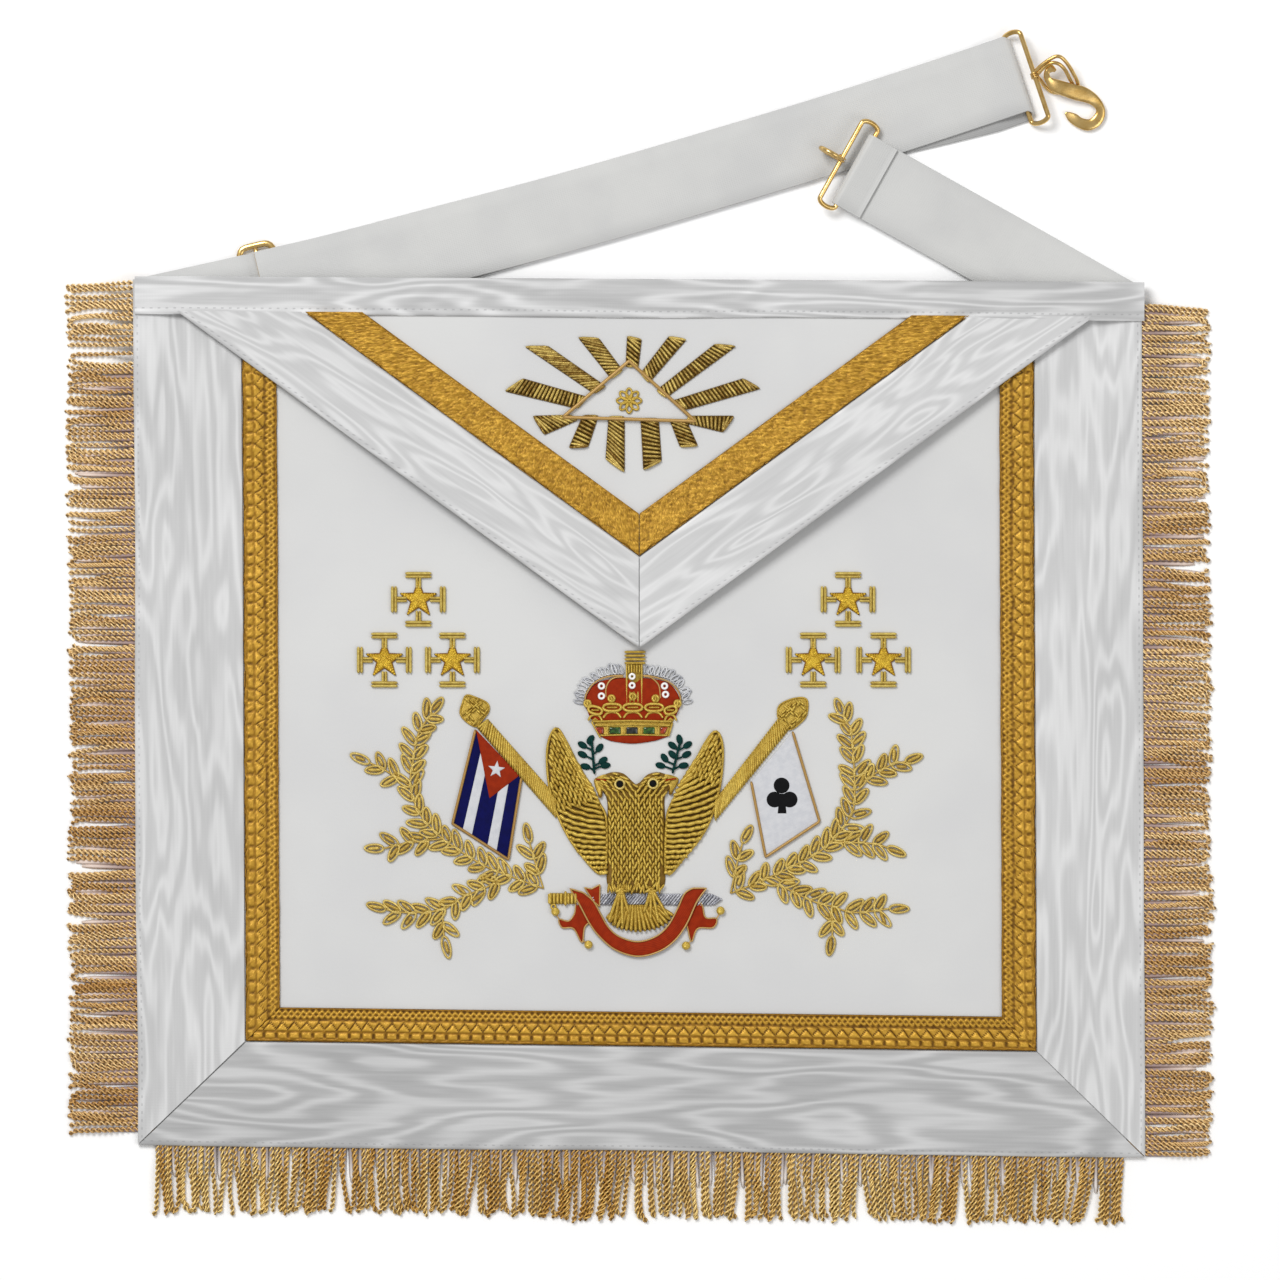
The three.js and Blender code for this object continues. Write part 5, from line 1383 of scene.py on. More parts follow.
# sunburst on the flap
rays = [[(-1.5, 67), (12, 64), (9, 38), (-3, 38)], [(39.6, 66.8), (56.5, 64), (20, 22), (12, 31)],
        [(85, 59), (105.6, 57.3), (37, 7), (28, 14)], [(113, 25), (130, 15.4), (58, -5), (43, 3)],
        [(60, -12), (104, -12), (93, -27.5), (58, -19)], [(41, -16), (57, -16.5), (68, -41), (51, -42)],
        [(12, -15), (29, -15), (32, -56), (14.6, -65)], [(-20, -13), (-5, -13), (-5, -67), (-23, -54)],
        [(-46, -12), (-31, -12), (-41, -42), (-59.5, -43)], [(-95, -12), (-60, -11), (-52, -16), (-84, -30)],
        [(-105, 25), (-42, 7), (-52, -4), (-123, 13)], [(-103, 57), (-80, 57), (-24, 18), (-35, 11)],
        [(-50, 66), (-30, 65), (-7, 34), (-18, 26)]]
sun = {"centre": (-4.18, 125.18), "pitch": 1.45, "radius": 0.6, "triangle": [(0, 43), (-66, -13), (66, -17)],
       "rosette": (0, 3.5), "petals": 8}


def longWay(quad):
    # a four-cornered shape's two long edges
    sides = np.linalg.norm(quad - np.roll(quad, -1, axis=0), axis=1)
    if sides[0] + sides[2] > sides[1] + sides[3]:
        return quad[[0, 1]], quad[[3, 2]]
    return quad[[0, 3]], quad[[1, 2]]


def addSunburst():
    centre = np.array(sun["centre"])
    shapes = []
    for number, ray in enumerate(rays):
        quad = chart(ray) + centre
        a, b = longWay(quad)
        shapes += dyed(0, sewn(a, b, sun["pitch"], 2, sun["radius"], 0.0, 0.3, 200 + number, contrast=1.33))
        shapes += dyed(1, pad(a, b, 0.15, 12, 6))
        shapes += dyed(1, cordAlong(quad, 0.26, 0.0, 64, True, 0.4, False, 6))
    corners = chart(sun["triangle"]) + centre
    shapes += dyed(2, cordAlong(corners, 0.72, 0.6, 120, True, 0.5, False, 8))
    addPiece("sunburst", atop(shapes), [sunPurl, deepPurl, fineCord], ["sunburst"])
    middle = chart([sun["rosette"]]) + centre
    angle = around(sun["petals"])
    foots = middle + 0.9 * np.stack([np.cos(angle), np.sin(angle)], -1)
    petals = loops(foots, angle, np.full(len(angle), 4.0), 2.6, 0.5, 0.0, 0.6)
    hub = rings(middle, 0.6, 0.5, 0.3)
    addPiece("triangleRosette", atop([petals, hub]), goldPurl, ["triangle_rosette"])


# star crosses
cross = {"centres": [(-221, 116), (-255, 55.5), (-187, 55.5), (208.4, 116), (173.5, 55.5), (243.8, 55.5)],
         "arm": 11.1, "bar": 5.3, "wire": 0.64, "outer": 7.5, "inner": 3.1}


def starOutline(centre, outer, inner, points=5, turn=np.pi / 2):
    angle = turn + np.pi * np.arange(2 * points) / points
    radius = np.where(np.arange(2 * points) % 2 == 0, outer, inner)
    return centre + np.stack([np.cos(angle), np.sin(angle)], -1) * radius[:, None]


def addStarCross(number, centre):
    wire, arm, bar = cross["wire"], cross["arm"], cross["bar"]
    shapes = []
    span = np.linspace(-1, 1, 14)
    for quarter in range(4):
        ahead = np.array([[1, 0], [0, 1], [-1, 0], [0, -1]][quarter], float)
        side = np.array([-ahead[1], ahead[0]])
        bars = [centre + ahead * (arm - wire - gap) + np.outer(span * bar, side) for gap in (0, 2 * wire)]
        reach = 4.6 + (arm - 3 * wire - 4.9) * (span + 1) / 2
        stems = [centre + side * shift * wire * 0.95 + np.outer(reach, ahead) for shift in (-1, 1)]
        shapes += [tubes(raised(np.array(bars), wire + 0.05), wire, 8, np.array([0.75, 0.45])),
                   tubes(raised(np.array(stems), wire), wire * 0.9, 8, np.array([0.6, 0.4]))]
    shapes = dyed(1, *shapes)
    outline = starOutline(centre, cross["outer"], cross["inner"])
    for point in range(5):
        tip, ridge = outline[2 * point], np.array([centre, outline[2 * point] * 0.94 + centre * 0.06])
        for notch in (outline[2 * point - 1], outline[(2 * point + 1) % 10]):
            edge, seed = np.array([notch, tip]), 300 + 10 * number + point
            shapes += dyed(0, sewn(ridge, edge, 0.85, -1, 0.42, 0.15, 0.15, seed, 0.35, 5))
    shapes += dyed(0, cushion(outline, 0.7, smoothed=False))
    shapes += dyed(2, cordAlong(outline, 0.3, 0.0, 100, True, 0.3, False, 6))
    addPiece(f"starCross_{number}", shapes, [starPurl, olivePurl, amberPurl],
             [f"star_cross_{number}"])


# crown
crown = {
    "cap": [(-46, -5), (-51.5, 3), (-54.5, 14), (-48, 28), (-36, 35), (-7, 38), (22, 35), (34, 28),
        (41, 14), (38, 3), (32, -5), (14, -6.5), (-7, -7), (-28, -6.5)],
    "pearls": [(-38, 29.4), (-38, 19.4), (25, 29.4), (26, 21)],
    "columnPearls": [(-7.4, 39), (-7.4, 30)],
    "hoops": [[(-33.5, 18), (-33.5, 27), (-30, 34.4), (-24, 38), (-16, 38.5)], [(21, 17), (19.6, 29),
        (15.4, 35), (10, 38.5), (4, 39)], [(-54, 8), (-54, 19), (-49, 28.5), (-43, 34), (-36, 37.5),
        (-27, 39.5), (-16, 40)], [(3, 40), (10, 39.5), (20, 37), (30, 33), (38, 25.5), (41, 16),
        (40, 8)]],
    "frill": [[(-55.5, 13), (-53.5, 24), (-47, 32), (-39, 38), (-28, 41), (-17, 41.5)], [(6, 41.5),
        (15, 40), (26, 37.5), (34, 33), (41, 24), (43.5, 13)]],
    "knobs": [(-52, 12), (-28, 17), (-6.8, 19), (16, 17), (38, 12)],
    "leaves": [(-44.3, 5.3, 14, -15), (-27.3, 8, 18, 0), (-6.6, 8, 19, 0), (14.6, 8, 18, 0),
        (31, 5.3, 12, 15)],
    "stones": [(-47, -34), (-32, -17), (-15, 0), (2, 17), (19, 30)],
    "postBars": [([(-10.6, 42), (0, 42)], [(-10.6, 51), (0, 51)], 0.85, 0.38, 402),
        ([(-9.5, 13), (-1.5, 13)], [(-9.5, 24), (-1.5, 24)], 0.95, 0.4, 403)],
    "bandEnds": [[(-48, -6), (-39, -22.5)], [(29, -21), (33, -7)]],
    "bandFoot": [(-39, -20.2), (-25, -20), (-7, -19.6), (12, -19.8), (29, -20.2), (20, -24), (12, -26),
        (-7, -28.2), (-25, -26.3), (-33, -24)],
    "bandBack": [(-49.5, 0), (-38.5, -20.5), (28.5, -20.5), (35.5, 0)],
    "bandCords": [(-6, 0.75, 0.42), (-10, 0.5, 0.4), (-20, 0.5, 0.34)]}


def addCrown():
    column = chart([(-12.8, 11), (-12.8, 52)]), chart([(2.2, 11), (2.2, 52)])
    block = chart([(-15, 52.4), (-15, 63.5)]), chart([(6, 52.4), (6, 63.5)])
    shapes = [sewn(*block, 1.1, 0, 0.56, 0.35, 0.1, 401, steps=10, sides=8)]
    shapes += [pad(column[0], column[1], 0.7)]
    shapes += [cordAlong(edge, 0.42, 0.3, 30, tint=0.6) for edge in column]
    for lower, upper, pitch, radius, seed in crown["postBars"]:
        shapes.append(sewn(chart(lower), chart(upper), pitch, 0, radius, 0.6, 0.1, seed))
    shapes = dyed(0, *shapes)
    shapes += dyed(1, rings(chart(crown["columnPearls"]), 0.98, 0.5, 0.85))
    addPiece("crownPost", shapes, [goldPurl, pearlWhite], ["crown_post"])

    shapes = dyed(0, cushion(chart(crown["cap"]), 0.9))
    shapes += dyed(1, rings(chart(crown["pearls"]), 1.05, 0.5, 0.75))
    shapes += dyed(2, *[cordAlong(chart(hoop), 0.34, 0.45, 40) for hoop in crown["hoops"]])
    pick = np.random.default_rng(404)
    for frill in crown["frill"]:
        line = smooth(chart(frill), 17)
        away = line - chart([(-6, 0)])
        out = np.arctan2(away[:, 1], away[:, 0]) + 0.25 * pick.normal(0, 1, len(line))
        shapes += dyed(3, loops(line, out, 3.9 + 0.4 * pick.normal(0, 1, len(line)), 1.8, 0.32, 0.1,
                                pick.uniform(0, 1, len(line)), 14))
    addPiece("crownCap", shapes, [redSatin, pearlWhite, fineCord, frillPurl], ["crown_cap"])

    shapes = dyed(1, cushion(chart(crown["bandFoot"]), 0.7))
    shapes += dyed(0, cushion(chart(crown["bandBack"]), 0.45, smoothed=False))
    for y, height, wire in crown["bandCords"]:
        ends = -47 + (-6 - y) * 0.58, 33 - (-6 - y) * 0.33
        shapes += dyed(0, cordAlong(chart([(ends[0], y), (-7, y + 0.8), (ends[1], y)]), wire, height, 40))
    shapes += dyed(0, *[cordAlong(chart(edge), 0.4, 0.3, 20) for edge in crown["bandEnds"]])
    for number, (left, right) in enumerate(crown["stones"]):
        taper = ((4.5 if number == 0 else 0), (-3 if number == 4 else 0))
        frame = chart([(left + 1.7 + taper[0], -18.3), (left + 1.7, -11.7), (right - 1.7, -11.7),
                       (right - 1.7 + taper[1], -18.3)])
        shapes += dyed((4, 2, 3, 2, 4)[number], cushion(frame, 0.55, low=0.5, smoothed=False))
        if number:
            shapes += dyed(0, cordAlong(chart([(left, -19.5), (left, -10.5)]), 0.36, 0.6, 10))
    for x, y, width, lean in crown["leaves"]:
        turn = around(32)
        a, b = superRound(np.cos(turn), 0.7) * width / 2, np.sin(turn) * 3.6
        cos, sin = np.cos(np.radians(lean)), np.sin(np.radians(lean))
        shape = chart(np.stack([x + a * cos - b * sin, y + a * sin + b * cos], -1))
        vein = chart([(x - width * 0.3, y), (x + width * 0.3, y)])
        shapes += dyed(0, cordAlong(shape, 0.6, 0.75, 40, True, 0.9), cordAlong(vein, 0.45, 0.6, 12, tint=0.2))
        arch = [(x - width * 0.5, y - 10.5), (x - width * 0.3, y - 6), (x, y - 4.6), (x + width * 0.3, y - 6),
                (x + width * 0.5, y - 10.5)]
        drop = [(x - 4, y - 10.5), (x, y - 6.6), (x + 4, y - 10.5)]
        shapes += dyed(0, cordAlong(chart(arch), 0.5, 0.5, 24, tint=0.8),
                       cushion(chart(drop), 0.6, smoothed=False))
    knobs = chart(crown["knobs"])
    shapes += dyed(0, rings(knobs, 1.15, 0.6, 0.8, tint=0.9), chipsOn(knobs, np.pi / 2, 2.6, 0.55, 1.0, 405))
    addPiece("crownBand", shapes, [goldPurl, redSatin, greenStone, blackStone, redStone],
             ["crown_band"])


olivePurl = purlFinish("olivePurl", (240, 216, 118), (176, 142, 50), 0.45, 0.34)
amberPurl = purlFinish("amberPurl", (172, 118, 18), (122, 78, 6), 0.4, 0.45)
addSunburst()
for number, centre in enumerate(chart(cross["centres"])):
    addStarCross(number + 1, centre)
addCrown()
print("sunburst, star crosses and crown made")


# eagle
eagle = {
    "leftWing": [(-84, -13), (-92, -33), (-90, -71), (-78, -108), (-58.5, -139), (-36, -157.5),
        (-33, -107), (-40, -88), (-54, -65), (-74, -25)],
    "rightWing": [(77, -16), (66, -27), (46, -65), (32, -88), (27, -107), (27, -157.5), (44, -142.5),
        (67.5, -111), (80, -71), (83, -33)],
    "body": [(-28, -174), (21, -174), (25, -145), (25.5, -105), (25, -85), (27, -77), (32, -70),
        (35, -63.5), (27, -59), (18, -56.5), (8, -59), (2, -65), (-3, -69), (-8, -65), (-16, -58),
        (-26, -56.5), (-35, -59), (-43, -63.5), (-40, -70), (-36, -77), (-32.5, -85), (-32, -105),
        (-32, -145)],
    "eyes": [(-19.7, -68.5), (13.5, -68)],
    "beaks": [[(-33, -59), (-44.5, -63), (-45, -69), (-41.5, -79), (-38.5, -82), (-37.5, -74),
        (-33, -70)], [(25, -59), (38, -62), (38, -68), (33, -76), (30.5, -79), (29.5, -72), (25, -69)]],
    "tailStarts": [(-20, -189), (16, -189)],
    "tailEnds": [(-33, -203), (-29, -209), (-20, -214), (-2, -217), (16, -214), (27, -209), (34, -200)],
    "tail": [(-21, -191), (-31, -203), (-20, -212), (-2, -215), (18, -212), (31, -202), (17, -191)],
    "legs": [(-18, [(-31, -206), (-25, -210), (-17, -210), (-10, -199)]),
        (11.5, [(4, -197), (11, -204), (19, -207), (29, -202)])],
    "rightRoots": [(50, -54), (38, -71), (33, -82), (28.5, -97), (25.5, -112), (25, -135), (25, -157)],
    "rightTips": [(74, -19), (78, -17), (82, -27), (82.5, -51), (80, -74), (73, -100), (61, -124),
        (45, -143), (31, -156)],
    "leftRoots": [(-57, -58), (-47, -72), (-41, -84), (-36, -98), (-33, -112), (-32, -135), (-32, -157)],
    "leftTips": [(-81, -17), (-85, -13), (-89, -26), (-90, -51), (-86, -78), (-79, -103), (-66, -130),
        (-54, -146), (-40, -157)]}


def addWing(name, replaced, outline, roots, tips, chipLine):
    # strands that leave the body nearly level and bend up along the wing, with chips above chipLine
    count = 22
    share = np.linspace(0, 1, count)
    root, tip = along(chart(roots), count), along(chart(tips), count)
    low = step(share, 0.1, 0.75)[:, None]
    bend = np.stack([root[:, 0] + (tip[:, 0] - root[:, 0]) * (0.5 + 0.3 * low[:, 0]),
                     root[:, 1] + (tip[:, 1] - root[:, 1]) * (0.5 - 0.38 * low[:, 0])], -1)
    t = np.linspace(0, 1, 40)[None, :, None]
    flat = root[:, None] * (1 - t) ** 2 + 2 * bend[:, None] * t * (1 - t) + tip[:, None] * t ** 2
    edge = chart(outline)
    pick = np.random.default_rng(len(name))
    beat = np.abs(np.sin(np.linspace(0, 18, 40)[None] + pick.uniform(0, 6, count)[:, None]))
    aside = 0.16 * np.sin(np.linspace(0, 22, 40)[None] + pick.uniform(0, 6, count)[:, None])
    flat = flat + aside[..., None] * np.array([0.4, 0.9])
    height = dome(flat, edge, 0.75) + 0.25 + 0.22 * beat + 0.1 * (np.arange(count) % 2)[:, None]
    shapes = dyed(0, tubes(raised(flat, height + 0.7), 0.68 + 0.18 * beat, 8, pick.uniform(0.3, 1, count)))
    shapes += dyed(1, cushion(edge, 0.75))
    side = np.sign(edge[:, 0].mean())
    spots = scattered(edge, 1.3, 3.3, np.radians(90 - 28 * side), 0.93)
    spots = spots[spots[:, 1] > chipLine * square - 0.35 * side * (spots[:, 0] - edge[:, 0].mean())]
    turn = np.radians(90 - side * (22 + 8 * step(spots[:, 1], -36, -10)))
    shapes += dyed(0, chipsOn(spots, turn, 3.3, 0.62, dome(spots, edge, 0.75) + 1.25, 511, 0.35))
    rim = tubes(raised(smooth(edge, 120, True), 0.75)[None], 0.62, 7, 0.5, looped=True)
    addPiece(name, shapes + dyed(0, rim), [goldPurl, deepPurl], [replaced])


def addEagle():
    for side, chipLine in (("left", -90), ("right", -62)):
        addWing(f"eagleWing_{side}", f"eagle_wing_{side}", eagle[f"{side}Wing"], eagle[f"{side}Roots"],
                eagle[f"{side}Tips"], chipLine)
    edge = chart(eagle["body"])
    shapes = dyed(1, cushion(edge, 1.5))
    spots = scattered(edge, 1.16, 3.2, np.pi / 2, 0.95)
    up = step(spots[:, 1], -92 * square, -60 * square)
    side = np.sign(spots[:, 0] + 3.5 * square)
    sway = 0.22 * np.where(np.round(spots[:, 0] / 1.16) % 2 == 0, 1, -1)
    turn = np.pi / 2 - side * up * 1.25 + sway * (1 - up)
    shapes += dyed(0, chipsOn(spots, turn, 3.2, 0.55, dome(spots, edge, 1.5) + 0.05, 512, 0.3))
    ragged = np.linspace(-31, 22, 25)
    pick = np.random.default_rng(513)
    low = chart(np.stack([ragged, -171.5 + pick.uniform(-3, 2, 25)], -1))
    shapes += dyed(0, chipsOn(low, np.pi / 2 + pick.normal(0, 0.25, 25), 3.6, 0.5, 0.9, 514))
    eyes = chart(eagle["eyes"])
    shapes += dyed(4, rings(eyes, 1.85, 0.5, 2.4, 20, tint=1.0))
    shapes += dyed(2, *[bead(eye, 1.42, 1.75, 0.7) for eye in eyes])
    shapes += dyed(3, cordAlong(chart([(-44, -63.5), (-33, -65)]), 0.36, 1.25, 10),
                   cordAlong(chart([(24, -65), (37, -63)]), 0.36, 1.25, 10))
    for beak in eagle["beaks"]:
        shapes += dyed(0, cushion(chart(beak), 0.9, low=0.1))
        shapes += dyed(1, cordAlong(chart(beak[3:6]), 0.34, 0.6, 12))
    addPiece("eagleBody", shapes, [goldPurl, bodyPurl, blackSatin, redSatin, palePurl],
             ["eagle_body"])

    ends, starts = along(chart(eagle["tailEnds"]), 17), along(chart(eagle["tailStarts"]), 17)
    t = np.linspace(0, 1, 9)[None, :, None]
    fan = starts[:, None] * (1 - t) + ends[:, None] * t
    rise = 0.35 + 0.35 * (np.arange(17) % 2)
    pick = np.random.default_rng(515)
    shapes = dyed(0, tubes(raised(fan, rise[:, None] + 0.6), 0.8, 8, pick.uniform(0, 0.4, 17)))
    shapes += dyed(1, cushion(chart(eagle["tail"]), 0.5))
    for leg, toes in eagle["legs"]:
        claws = np.array([smooth(chart([(leg, -172), (0.6 * leg + 0.4 * x, -184), (x, y)]), 12)
                          for x, y in toes])
        rise = 2.3 - 0.7 * np.linspace(0, 1, 12) ** 2
        cuts = chart([(leg - 3, -175), (leg + 3, -175), (leg, -173), (leg, -178)])
        shapes += dyed(0, tubes(raised(claws, rise), 0.72, 8, np.array([0.5, 0.25, 0.55, 0.3])),
                       chipsOn(cuts, np.array([0.3, -0.3, 0.1, 0]), 2.6, 0.6, 1.9, 516))
    addPiece("eagleTail", shapes, [goldPurl, deepPurl], ["eagle_tail"])


# sword and ribbon
ribbon = {
    "outer": [(-69.4, -173), (-60, -189), (-49.5, -208.5), (-39, -222), (-23.5, -234.5), (-2, -240.7),
        (19, -236), (35, -225), (47, -208.5), (57.6, -185.6), (67, -172.6)],
    "inner": [(-56, -177), (-46, -185.6), (-39, -198), (-31, -211.6), (-20, -221), (-2, -226), (16, -221),
        (28.5, -210), (38, -193), (45, -178), (53, -172.6)],
    "tails": [[(-62, -186), (-65, -198), (-71, -205.5), (-80.5, -203.5), (-77.4, -212), (-66, -213),
        (-57.5, -227), (-55, -212), (-49, -203)], [(57, -185), (62.7, -190), (66, -202), (77, -203),
        (73.5, -212), (58, -213), (52, -226), (48, -212), (46, -203)]],
    "fold": [(-55, -172), (-48, -173.5), (-39.5, -169), (-40, -191), (-46, -185.5)],
    "balls": [(-84, -196), (-51, -229), (46.5, -230), (81, -195)],
    "ties": [[(-80, -204), (-83, -199)], [(-57, -225), (-53, -227)], [(52, -225), (48, -228)],
        [(77, -203), (80, -198)]]}


def addSword():
    low, high = chart([(-62, -189.5), (72, -190), (81, -185)]), chart([(-62, -178.5), (72, -178), (82, -183)])
    shapes = [sewn(low, high, 1.2, 3, 0.42, 0.0, 0.15, 601), pad(low, high, 0.25)]
    addPiece("swordBlade", shapes, silverPurl, ["sword_blade"])
    left, right = chart([(-89, -188.5), (-64, -188.5)]), chart([(-89, -177.5), (-64, -177.5)])
    shapes = dyed(0, sewn(left, right, 1.25, 0, 0.66, 0.1, 0.35, 602, sides=8))
    shapes += dyed(0, pad(left, right, 0.6),
                   cordAlong(chart([(-90, -178), (-90, -188)]), 0.7, 0.4, 14, tint=0.8),
                   rings(chart([(-86, -191)]), 0.9, 0.45, 0.4),
                   cordAlong(chart([(-74, -175.5), (-74, -190)]), 0.6, 0.8, 14))
    addPiece("swordHilt", shapes, [goldPurl], ["sword_hilt"])


def addRibbon():
    outer, inner = smooth(chart(ribbon["outer"]), 70), smooth(chart(ribbon["inner"]), 70)
    shapes = dyed(0, pad(outer, inner, 0.55, 70, 10, 0.75))
    edge = np.concatenate([outer, inner[::-1]])
    shapes += dyed(1, cordAlong(edge, 0.36, 1.0, 180, True, 0.6, False))
    for tail in ribbon["tails"]:
        shapes += dyed(0, cushion(chart(tail), 0.5, 0.7, 0.1))
        shapes += dyed(1, cordAlong(chart(tail), 0.32, 0.35, 70, True, 0.6))
    shapes += dyed(0, cushion(chart(ribbon["fold"]), 0.4, 0.3, 0.45, False))
    shapes += dyed(1, cordAlong(chart(ribbon["fold"]), 0.3, 0.65, 50, True, 0.6, False))
    shapes += dyed(2, *[bead(ball, 1.75, 0.0, 0.7) for ball in chart(ribbon["balls"])])
    shapes += dyed(1, *[cordAlong(chart(tie), 0.3, 0.6, 8) for tie in ribbon["ties"]])
    addPiece("ribbonScroll", shapes, [redSatin, fineCord, goldPurl], ["ribbon"])


# flags and staffs
flags = {
    "left": [(-164, -14), (-187, -108), (-131, -144), (-118, -62)],
    "stripes": [0, 85, 160, 290, 365, 465], "triangle": [(-163.5, -14), (-120, -60), (-150, -83)],
    "star": (-143, -54), "right": [(153, -16), (111.5, -66), (126, -141.5), (180, -106)],
    "leftStaff": [[(-162, -13), (-84, -102)], [(-151, -4), (-84, -80)]],
    "rightStaff": [[(76, -105), (149, -15)], [(76, -84), (140, -1)]],
    "leftFinial": [(-173, 20), (-164, 18), (-152, 12), (-151, 4), (-157, -4), (-163, -11), (-173, -6),
        (-179, 2), (-177, 12)],
    "rightFinial": [(141, 11), (138, 2), (141, -7), (150, -14), (160, -8), (167, 1), (167, 16),
        (155, 17)],
    "trefoil": [(142, -70, 0.6), (135, -84, 2.6), (150, -84, -0.4)]}


def addFlags():
    left = chart(flags["left"])
    cuts = np.array(flags["stripes"]) / flags["stripes"][-1]
    lean = np.arctan2(*(left[1] - left[0])[::-1]) + np.pi / 2
    shapes = []
    top, low = [left[near] * (1 - cuts[:, None]) + left[far] * cuts[:, None] for near, far in ((0, 3), (1, 2))]
    for number in range(len(cuts) - 1):
        quad = np.array([top[number], low[number], low[number + 1], top[number + 1]])
        shapes += dyed(number % 2, cushion(quad, 0.28, lean, smoothed=False))
    shapes += dyed(2, cushion(chart(flags["triangle"]), 0.4, -0.8, 0.25, False))
    shapes += dyed(1, cushion(starOutline(chart(flags["star"]), 3.6, 1.5, turn=0.2), 0.35, 0.3, 0.7, False))
    shapes += dyed(3, cordAlong(left, 0.6, 0.1, 90, tint=0.1, smoothed=False))
    addPiece("flag_left_cloth", shapes, [blueSatin, whiteSatin, redSatin, fineCord],
             ["flag_left"])

    right = chart(flags["right"])
    shapes = dyed(0, cushion(right, 0.4, 0.2, smoothed=False))
    for x, y, turn in flags["trefoil"]:
        angle = around(16)
        oval = chart(np.stack([x + 8 * np.cos(angle), y + 8 * np.sin(angle)], -1))
        shapes += dyed(1, cushion(oval, 0.35, turn, 0.35))
    shapes += dyed(1, cushion(chart([(140, -78), (145, -78), (147, -98), (138, -98)]), 0.35, 0, 0.35, False))
    shapes += dyed(2, cordAlong(right[[1, 2, 3, 0]], 0.6, 0.1, 90, tint=0.3, smoothed=False))
    addPiece("flag_right_cloth", shapes, [whiteSatin, blackSatin, fineCord], ["flag_right"])

    for side, slant in (("left", -3), ("right", 3)):
        a, b = [chart(line) for line in flags[f"{side}Staff"]]
        finial = chart(flags[f"{side}Finial"])
        shapes = [sewn(a, b, 1.3, slant, 0.56, 0.1, 0.45, 610), pad(a, b, 0.2, 16, 8)]
        for layer, turn in ((0, np.pi / 4), (1, -np.pi / 4)):
            spots = scattered(finial, 0.95, 3.2, turn, 0.9)
            checker = np.floor(spots.sum(1) / 2.1) + np.floor((spots[:, 0] - spots[:, 1]) / 2.1)
            spots = spots[checker % 2 == layer]
            shapes.append(chipsOn(spots, turn, 2.6, 0.46, dome(spots, finial, 0.5) + 0.3, 620 + layer))
        shapes += [cushion(finial, 0.5, deep=0.5), cordAlong(finial, 0.4, 0.05, 60, True, 0.3)]
        addPiece(f"staff_{side}_bullion", shapes, goldPurl, [f"staff_{side}"])


# laurels and sprigs
sprays = {
    "left": [[(-96, -173), (-128, -161), (-157, -149), (-197, -123), (-219, -99), (-229, -71),
        (-226, -44), (-221, -18), (-208, 2)], [(-229, -71), (-252, -56), (-270, -47)], [(-197, -123),
        (-235, -128), (-256, -133)], [(-128, -161), (-179.5, -183), (-197, -194), (-231, -197),
        (-254, -194)], [(-197, -194), (-195.5, -221)], [(-96, -173), (-102, -154), (-110, -127)]],
    "right": [[(91, -178), (127, -163), (170, -142), (191, -126.5), (211.5, -99), (215, -71),
        (211.5, -18), (203, 0)], [(215, -71), (248, -51), (266, -46)], [(191, -126.5), (232, -128),
        (248, -132)], [(127, -163), (172, -185), (193, -191), (215, -197), (250, -193)], [(193, -191),
        (192.6, -221)], [(91, -178), (97, -150), (103, -127)]],
    "pitch": 13.5, "leaf": 7.6, "width": 3.5, "spread": 0.72,
    "sprigs": {"left": [[(-45, -58.6), (-48, -22)], [(-49, -24, 0.9), (-57, -29.5, 2.6),
        (-40, -32.5, 0.9), (-57, -39, 2.7), (-54, -51, 2.9), (-36.5, -45, 0.6), (-34, -50, 0.15)]],
        "right": [[(33, -58), (41, -25)], [(40, -24, 1.8), (33, -30, 2.5), (48, -29.5, 0.6),
        (33, -39, 2.4), (47, -39, 0.5), (25, -42.5, 2.2), (21, -50, 2.9), (44, -50, 0.2)]]}}


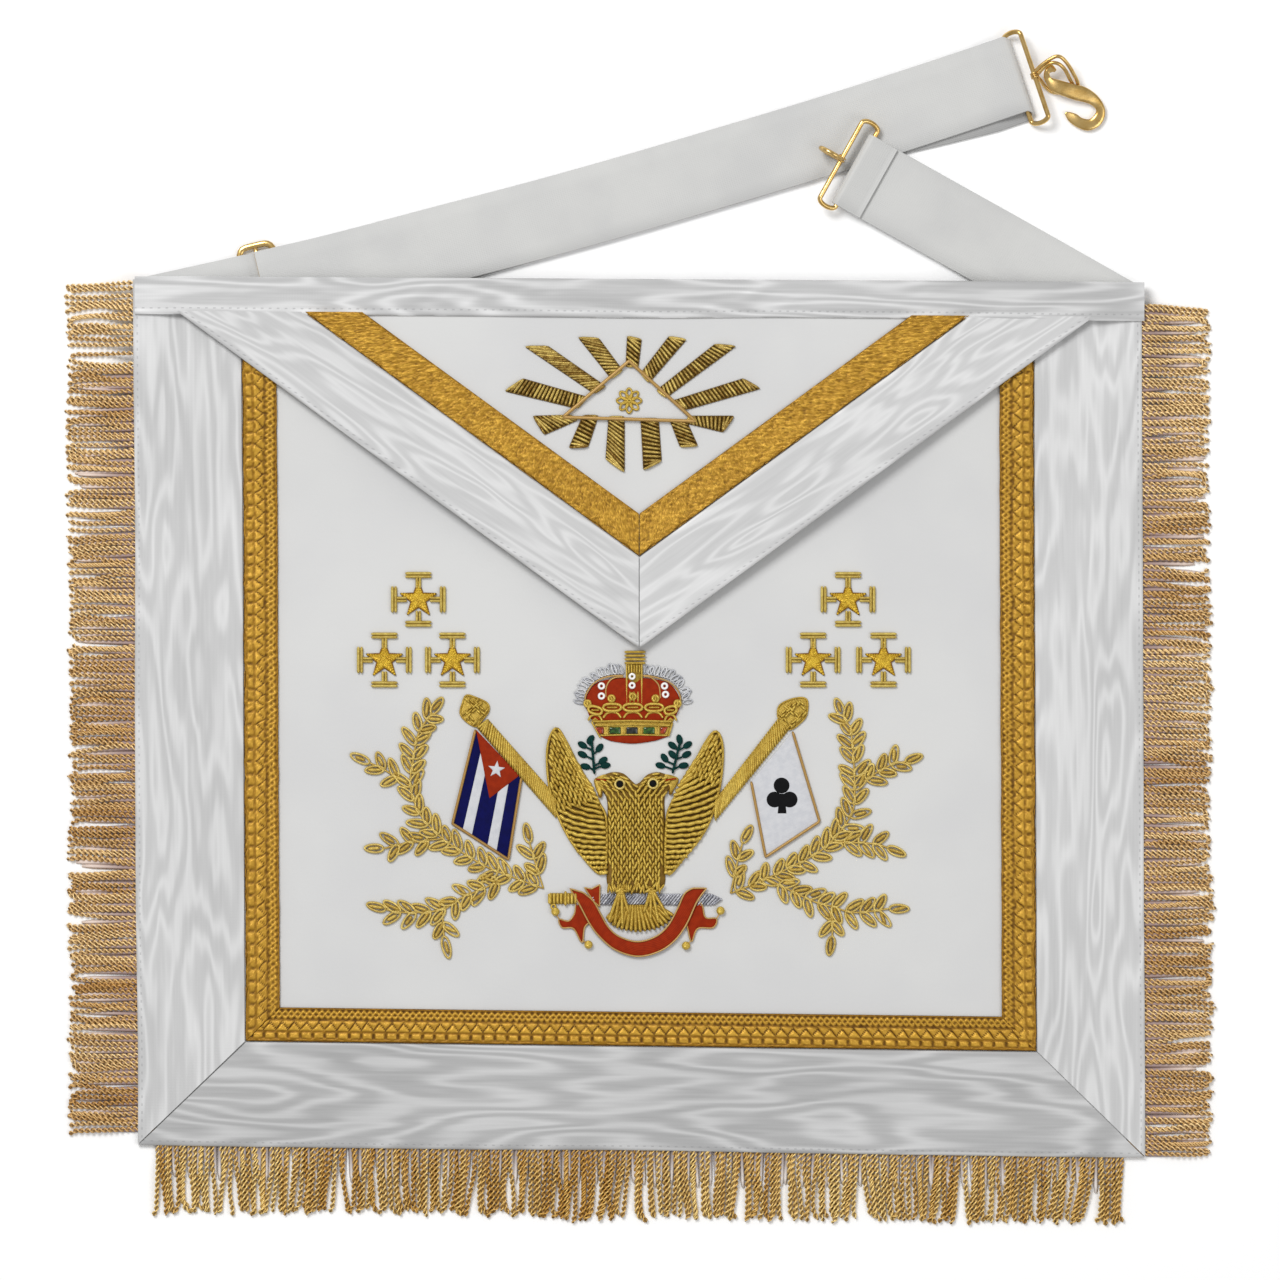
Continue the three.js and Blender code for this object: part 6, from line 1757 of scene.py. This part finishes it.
def addLaurels():
    for side in ("left", "right"):
        feet, turns = [], []
        shapes = []
        for number, branch in enumerate(sprays[side]):
            line = chart(branch)
            length = np.linalg.norm(np.diff(line, axis=0), axis=1).sum()
            shapes.append(cordAlong(line, 0.4, 0.1, 60, tint=0.3))
            count = int(length / (sprays["pitch"] * square))
            spots = smooth(line, 4 * count + 1)
            ahead = np.gradient(spots, axis=0)
            heading = np.arctan2(ahead[:, 1], ahead[:, 0])
            every = slice(2 if number == 0 else 4, -1, 4)
            for sign in (-1, 1):
                feet.append(spots[every])
                turns.append(heading[every] + sign * sprays["spread"])
            feet.append(spots[-1:])
            turns.append(heading[-1:])
        feet, turns = np.concatenate(feet), np.concatenate(turns)
        pick = np.random.default_rng(len(feet))
        turns = turns + 0.14 * pick.normal(0, 1, len(feet))
        length = sprays["leaf"] * (1 + 0.08 * pick.normal(0, 1, len(feet)))
        tint = pick.uniform(0.5, 1, len(feet))
        shapes.append(loops(feet, turns, length, sprays["width"], 0.52, 0.1, tint, 22))
        ahead = np.stack([np.cos(turns), np.sin(turns)], -1)
        veins = chipsOn(feet + ahead * (length * 0.5)[:, None], turns, 5.4, 0.72, 0.1, 630, 0.3, 6)
        shapes = dyed(0, *shapes) + dyed(1, veins)
        addPiece(f"laurel_{side}_leaves", shapes, [palePurl, leafPurl], [f"laurel_{side}"])


def addSprigs():
    for side in ("left", "right"):
        stem, leaves = sprays["sprigs"][side]
        shapes = [cordAlong(chart(stem), 0.55, 0.1, 20, tint=0.2)]
        for x, y, turn in leaves:
            angle = around(18)
            a, b = 5.2 * np.cos(angle), 3.2 * np.sin(angle)
            cos, sin = np.cos(turn), np.sin(turn)
            leaf = chart(np.stack([x + a * cos - b * sin, y + a * sin + b * cos], -1))
            shapes.append(cushion(leaf, 0.5, turn, 0.1))
            root = np.array([x - 4.4 * cos, y - 4.4 * sin])
            low, high = np.array(stem)
            joint = low + (high - low) * np.clip((root[1] - 3 - low[1]) / (high[1] - low[1]), 0, 1)
            shapes.append(cordAlong(chart([root, joint]), 0.42, 0.1, 8, tint=0.2))
        addPiece(f"sprig_{side}_silk", shapes, greenSilk, [f"sprig_{side}"])


palePurl = purlFinish("palePurl", (246, 220, 128), (186, 150, 62), 0.45, 0.34)
leafPurl = purlFinish("leafPurl", (238, 206, 104), (170, 132, 40), 0.45, 0.36)
addEagle()
addSword()
addRibbon()
addFlags()
addLaurels()
addSprigs()
print("eagle, sword, ribbon, flags, laurels and sprigs made")
